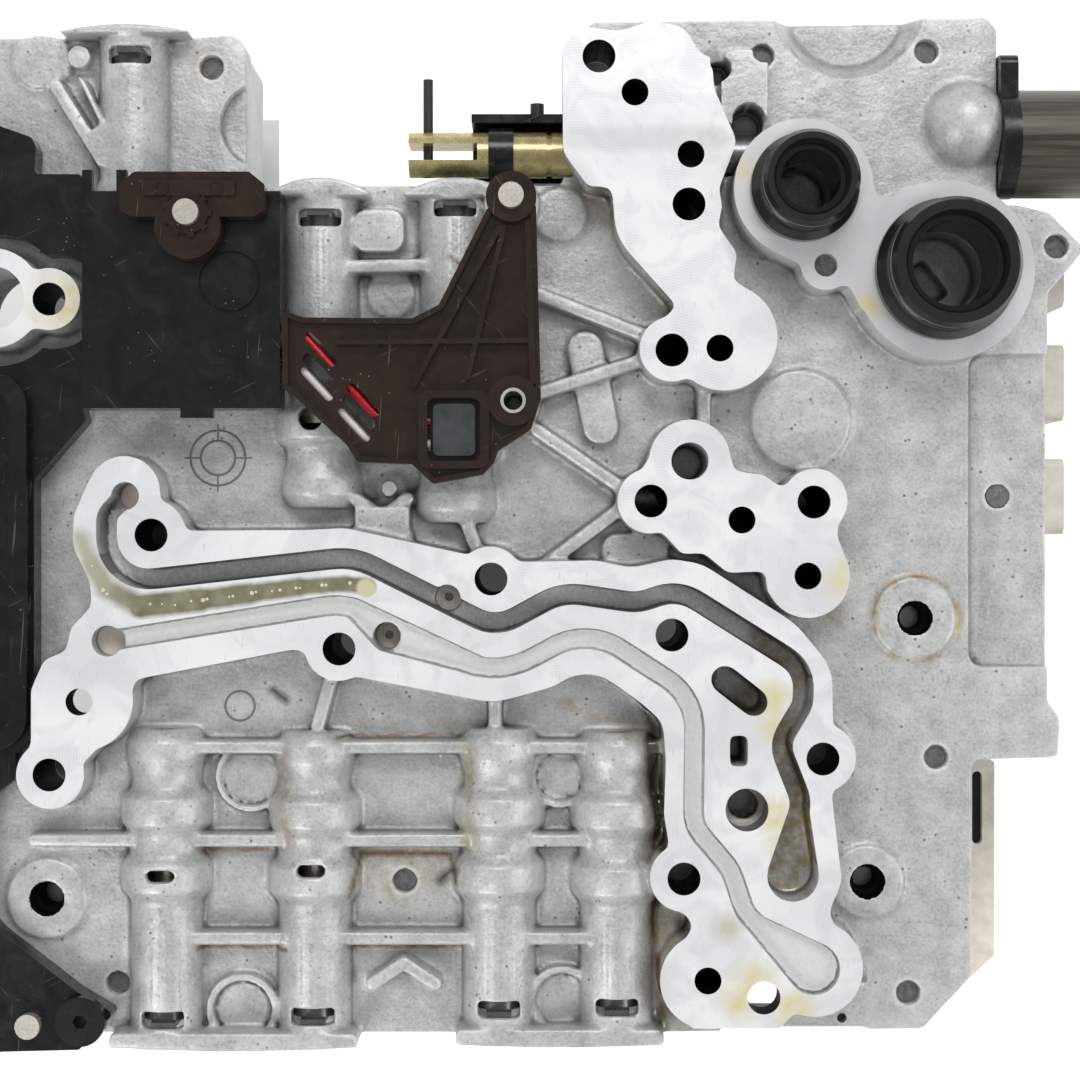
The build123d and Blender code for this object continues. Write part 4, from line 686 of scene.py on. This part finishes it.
def block(bm, x, y, low, high, length, width, turn=0.0):
    """Adds a closed box to bm, turned about Z by degrees."""
    turned = Matrix.Rotation(math.radians(turn), 4, "Z")
    at = Matrix.Translation((x * MM, y * MM, (low + high) / 2 * MM)) @ turned
    size = Matrix.Diagonal((length * MM, width * MM, (high - low) * MM, 1))
    bmesh.ops.create_cube(bm, size=1.0, matrix=at @ size)


def cut_away(obj, mesh):
    """Subtracts a closed mesh from the object."""
    tool = add_object("tool", mesh)
    cut = obj.modifiers.new("cut", "BOOLEAN")
    cut.operation = "DIFFERENCE"
    cut.solver = "MANIFOLD"
    cut.object = tool
    evaluated(obj)
    bpy.data.objects.remove(tool)


def leave_stock(mesh):
    """Raises the lands by what the mill takes off, and halves the flange of the upper left bore."""
    bm = bmesh.new()
    bm.from_mesh(mesh)
    bmesh.ops.remove_doubles(bm, verts=bm.verts, dist=1e-6)
    for v in bm.verts:
        if v.co.z > LAND * MM - 1e-5:
            v.co.z += MILL_STOCK * MM
        if v.co.x < SHORT_FLANGE_X * MM and v.co.y > SHORT_FLANGE_Y * MM:
            v.co.y = (SHORT_FLANGE_Y * MM + v.co.y) / 2
    bm.to_mesh(mesh)
    bm.free()


def hollows():
    """The round pocket in the upper edge, and the gap in the second rib."""
    bm = bmesh.new()
    bm.from_mesh(rods("pocket", [((*POCKET_AT, POCKET_FLOOR), (*POCKET_AT, WEB + 1), POCKET_R)], 96))
    block(bm, *RIB_GAP)
    return finished(bm, "hollows")


def add_details(mesh):
    """Lays closed shapes over the casting, which the remesh merges with it."""
    bm = bmesh.new()
    bm.from_mesh(mesh)
    plugs = [((x, y, PLUG_FOOT), (x, y, low + 0.3), r + 0.8) for x, y, r, low in CHANNEL_PORTS]
    bm.from_mesh(rods("plugs", plugs))
    for detail in (STAR_BOSS, LOWER_EDGE, LOWER_CORNER):
        block(bm, *detail)
    at = Matrix.Translation(Vector(DOME) * MM)
    bmesh.ops.create_icosphere(bm, subdivisions=5, radius=DOME_R * MM, matrix=at)
    bm.to_mesh(mesh)
    bm.free()


def round_off(obj):
    """Merges the shapes into one skin and rounds its corners, as a casting's are."""
    remesh = obj.modifiers.new("remesh", "REMESH")
    remesh.mode = "VOXEL"
    remesh.voxel_size = VOXEL * MM
    evaluated(obj)
    fill_hollows(obj.data, ROUNDS)
    smooth = obj.modifiers.new("smooth", "SMOOTH")
    smooth.factor = 0.5
    smooth.iterations = 3
    thin = obj.modifiers.new("thin", "DECIMATE")
    thin.ratio = min(1.0, MOST_TRIANGLES / (2 * len(obj.data.polygons)))
    evaluated(obj)


def machine(obj):
    """Mills the lands level, drills the holes and reams the valve bores."""
    cut_away(obj, rods("mill", [((0, 0, LAND), (0, 0, LAND + 10), 300)], 64))
    cut_away(obj, rods("drills", [((x, y, low), (x, y, LAND + 1), r) for x, y, r, low in DRILLED]))
    cut_away(obj, rods("reamer", [((x, mouth, BORE_Z), (x, end, BORE_Z), BORE_R) for x, mouth, end in BORES]))


def casting():
    """The channel plate as a casting: rounded all over, then milled level and drilled."""
    raw = add_object("channel_casting", nodes["channel_plate"].data.copy())
    leave_stock(raw.data)
    cut_away(raw, hollows())
    add_details(raw.data)
    round_off(raw)
    machine(raw)
    raw.data.set_sharp_from_angle(angle=math.radians(35))
    sort_faces(raw.data)
    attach(raw, "root")
    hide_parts("channel_plate")


casting()


COIL_STEPS = 16
COIL_TURNS = 6
WIRE_R = 0.5 * MM


def coil(node, axis, turns, wire):
    """Helical spring that fills the box of a CAD spring, in metres."""
    low, high = (Vector(v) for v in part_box(node))
    middle = (low + high) / 2
    length = high[axis] - low[axis] - 2 * wire
    others = [k for k in range(3) if k != axis]
    radius = (high[others[0]] - low[others[0]]) / 2 - wire
    path = []
    steps = turns * COIL_STEPS
    for i in range(steps + 1):
        angle = 2 * math.pi * i / COIL_STEPS
        p = middle.copy()
        p[axis] = low[axis] + wire + length * i / steps
        p[others[0]] += radius * math.cos(angle)
        p[others[1]] += radius * math.sin(angle)
        path.append(p)
    return tube(node + "_coil", path, wire, 8)


# Each valve spring becomes a helical coil of wire that fills its CAD box
for letter in "abcdefg":
    node = f"valve_spring_{letter}"
    mesh = coil(node, 1, COIL_TURNS, WIRE_R)
    piece = add_piece(f"coil_{letter}", mesh, "spring", "root")
    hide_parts(node)
    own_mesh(piece)

# Width of the rounded edges of CAD nodes
SOFT_EDGES = {
    "valve_plate": 0.6, "control_module_housing": 0.9, "module_cover": 0.5, "speed_sensor_arm": 0.35,
    "second_sensor": 0.4, "sensor_chip": 0.6, "park_solenoid_ring": 0.6, "park_carrier": 0.4,
    "park_piston": 0.3, "park_band": 0.2, "park_cross_pin": 0.2, "park_latch_pin": 0.2,
    "regulator_heads": 0.5, "beige_plate": 0.3, "pressure_regulators": 0.4, "locating_pins": 0.4,
    "module_screws": 0.4, "sensor_bush": 0.12, "plug_clips": 0.15, "connector_sleeve": 0.4,
    "orifice_inserts": 0.1, "small_seal_sleeve": 0.2, "large_seal_sleeve": 0.2, "module_heat_plate": 0.5,
    "small_bridge_seal": 0.45, "large_bridge_seal": 0.5, "plate_screws": 0.6,
}
for name, width in SOFT_EDGES.items():
    bevel = nodes[name].modifiers.new("soft", "BEVEL")
    bevel.width = width * MM
    bevel.segments = 3
    bevel.limit_method = "ANGLE"
    bevel.angle_limit = math.radians(40)
    bevel.harden_normals = False


def circle(x, y, z, radius, count=64):
    """Points of a level circle, in metres."""
    turns = [2 * math.pi * i / count for i in range(count)]
    return [((x + radius * math.cos(t)) * MM, (y + radius * math.sin(t)) * MM, z * MM) for t in turns]


DIAL_AT = web(218, 458)
DIAL_RINGS = {"dial_outer": 5.6, "dial_inner": 3.5}
TICK_REACH = (3.7, 6.9)
TICK_R = 0.16
MARK_AT = web(240, 706)
MARK_R = 3.0
MARK_WIRE = 0.22
MARK_Z = WEB + 0.02


def mark_ring(name, at, radius):
    """Thin raised ring on the web."""
    mesh = tube(name, circle(*at, MARK_Z, radius), MARK_WIRE * MM, 8, True)
    add_piece(name, mesh, "mark", "root")


def mould_marks():
    """Raised rings left by the mould: a dial of two rings with four ticks, and one small ring."""
    for name, radius in DIAL_RINGS.items():
        mark_ring(name, DIAL_AT, radius)
    mark_ring("mark_ring", MARK_AT, MARK_R)
    middle = Vector((*DIAL_AT, MARK_Z))
    ticks = []
    for quarter in range(4):
        way = Vector((math.cos(quarter * math.pi / 2), math.sin(quarter * math.pi / 2), 0))
        ticks.append((middle + way * TICK_REACH[0], middle + way * TICK_REACH[1], TICK_R))
    add_piece("dial_ticks", rods("dial_ticks", ticks, 10), "mark", "root")


def bubbles():
    """Small bubbles standing in the oil film on the land."""
    bm = bmesh.new()
    for px, py, size in BUBBLES:
        x, y = seen_at(px, py, LAND)
        at = Matrix.Translation((x * MM, y * MM, LAND * MM)) @ Matrix.Diagonal((1, 1, 0.55, 1))
        bmesh.ops.create_icosphere(bm, subdivisions=3, radius=size * PHOTO_PX * MM, matrix=at)
    mesh = finished(bm, "oil_bubbles")
    mesh.shade_smooth()
    add_piece("oil_bubbles", mesh, "bubble", "root")


SLOT_AT = (118.2, -59.5)
SLOT_SIZE = (3.4, 16.6)


def slot_back():
    """Dark strip behind the slot of the thin beige plate."""
    plate_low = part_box("beige_plate")[0][2] / MM
    bm = bmesh.new()
    block(bm, *SLOT_AT, plate_low - 0.8, plate_low + 0.4, *SLOT_SIZE)
    add_piece("slot_back", finished(bm, "slot_back"), "black", "root")


mould_marks()
bubbles()
slot_back()

# Boxes in plan under the part, where the floor doesn't shine up through the holes
UNDER = [(-70, -38, -98, 96), (-38, 28, -98, 64), (28, 112, -98, 96), (-96.5, -72, 44, 62),
         (-98, -72, -62, -49), (-104, -72, -94, -76)]
FLOOR_GLOW = 0.55
FLOOR_HALF = 3
FLOOR_Z = -0.0002


def floor_material():
    """Pale floor that reads as white to the camera, except in the boxes under the part."""
    g = Graph("floor")
    path = g.node("ShaderNodeLightPath").outputs
    seen = g.math("ADD", path["Is Camera Ray"], path["Is Glossy Ray"])
    seen = g.math("ADD", seen, path["Is Transmission Ray"], True)
    spot = g.node("ShaderNodeSeparateXYZ", {0: g.place()}).outputs
    for low_x, high_x, low_y, high_y in UNDER:
        right, left = g.math("GREATER_THAN", spot[0], low_x), g.math("LESS_THAN", spot[0], high_x)
        beside = g.math("MULTIPLY", right, left)
        beside = g.math("MULTIPLY", beside, g.math("GREATER_THAN", spot[1], low_y))
        beside = g.math("MULTIPLY", beside, g.math("LESS_THAN", spot[1], high_y))
        seen = g.math("SUBTRACT", seen, beside, True)
    g.put(g.bsdf.inputs["Emission Color"], (1.0, 1.0, 1.0, 1.0))
    g.put(g.bsdf.inputs["Emission Strength"], g.math("MULTIPLY", seen, FLOOR_GLOW))
    return g.set(color=(0.86, 0.86, 0.86, 1.0), roughness=0.9)


def add_floor():
    """The floor just under the part."""
    mesh = bpy.data.meshes.new("floor")
    corners = [(-1, -1), (1, -1), (1, 1), (-1, 1)]
    mesh.from_pydata([(x * FLOOR_HALF, y * FLOOR_HALF, FLOOR_Z) for x, y in corners], [], [(0, 1, 2, 3)])
    floor = add_object("floor", mesh)
    floor.data.materials.append(floor_material())


def add_world():
    """Studio bright near the horizon and dimmer overhead, so that black faces turned up stay black."""
    world = bpy.data.worlds.new("world")
    scene.world = world
    world.use_nodes = True
    tree = world.node_tree
    background = tree.nodes["Background"]
    direction = tree.nodes.new("ShaderNodeTexCoord")
    split = tree.nodes.new("ShaderNodeSeparateXYZ")
    tree.links.new(direction.outputs["Generated"], split.inputs[0])
    ramp = tree.nodes.new("ShaderNodeMapRange")
    tree.links.new(split.outputs[2], ramp.inputs["Value"])
    for socket, value in (("From Min", 0.35), ("From Max", 0.95), ("To Min", 0.7), ("To Max", 0.36)):
        ramp.inputs[socket].default_value = value
    tree.links.new(ramp.outputs[0], background.inputs[1])
    background.inputs[0].default_value = (1.0, 1.0, 1.0, 1.0)


def area_light(name, at, look_at, size, watts):
    """Soft white lamp: places and sizes in metres."""
    data = bpy.data.lights.new(name, "AREA")
    data.shape = "RECTANGLE"
    data.size, data.size_y = size
    data.energy = watts
    light = bpy.data.objects.new(name, data)
    light.location = at
    light.rotation_euler = (Vector(look_at) - Vector(at)).to_track_quat("-Z", "Y").to_euler()
    scene.collection.objects.link(light)


add_floor()
add_world()
area_light("key", (0.1, 1.0, 1.4), (0, 0, 0.05), (0.95, 0.5), 12.0)
area_light("side", (1.1, -0.25, 0.95), (0, 0, 0.05), (0.35, 0.75), 4.5)
area_light("fill", (-0.75, -0.9, 1.1), (0, 0, 0.05), (0.6, 0.6), 8.5)
scene.view_settings.view_transform = "Standard"
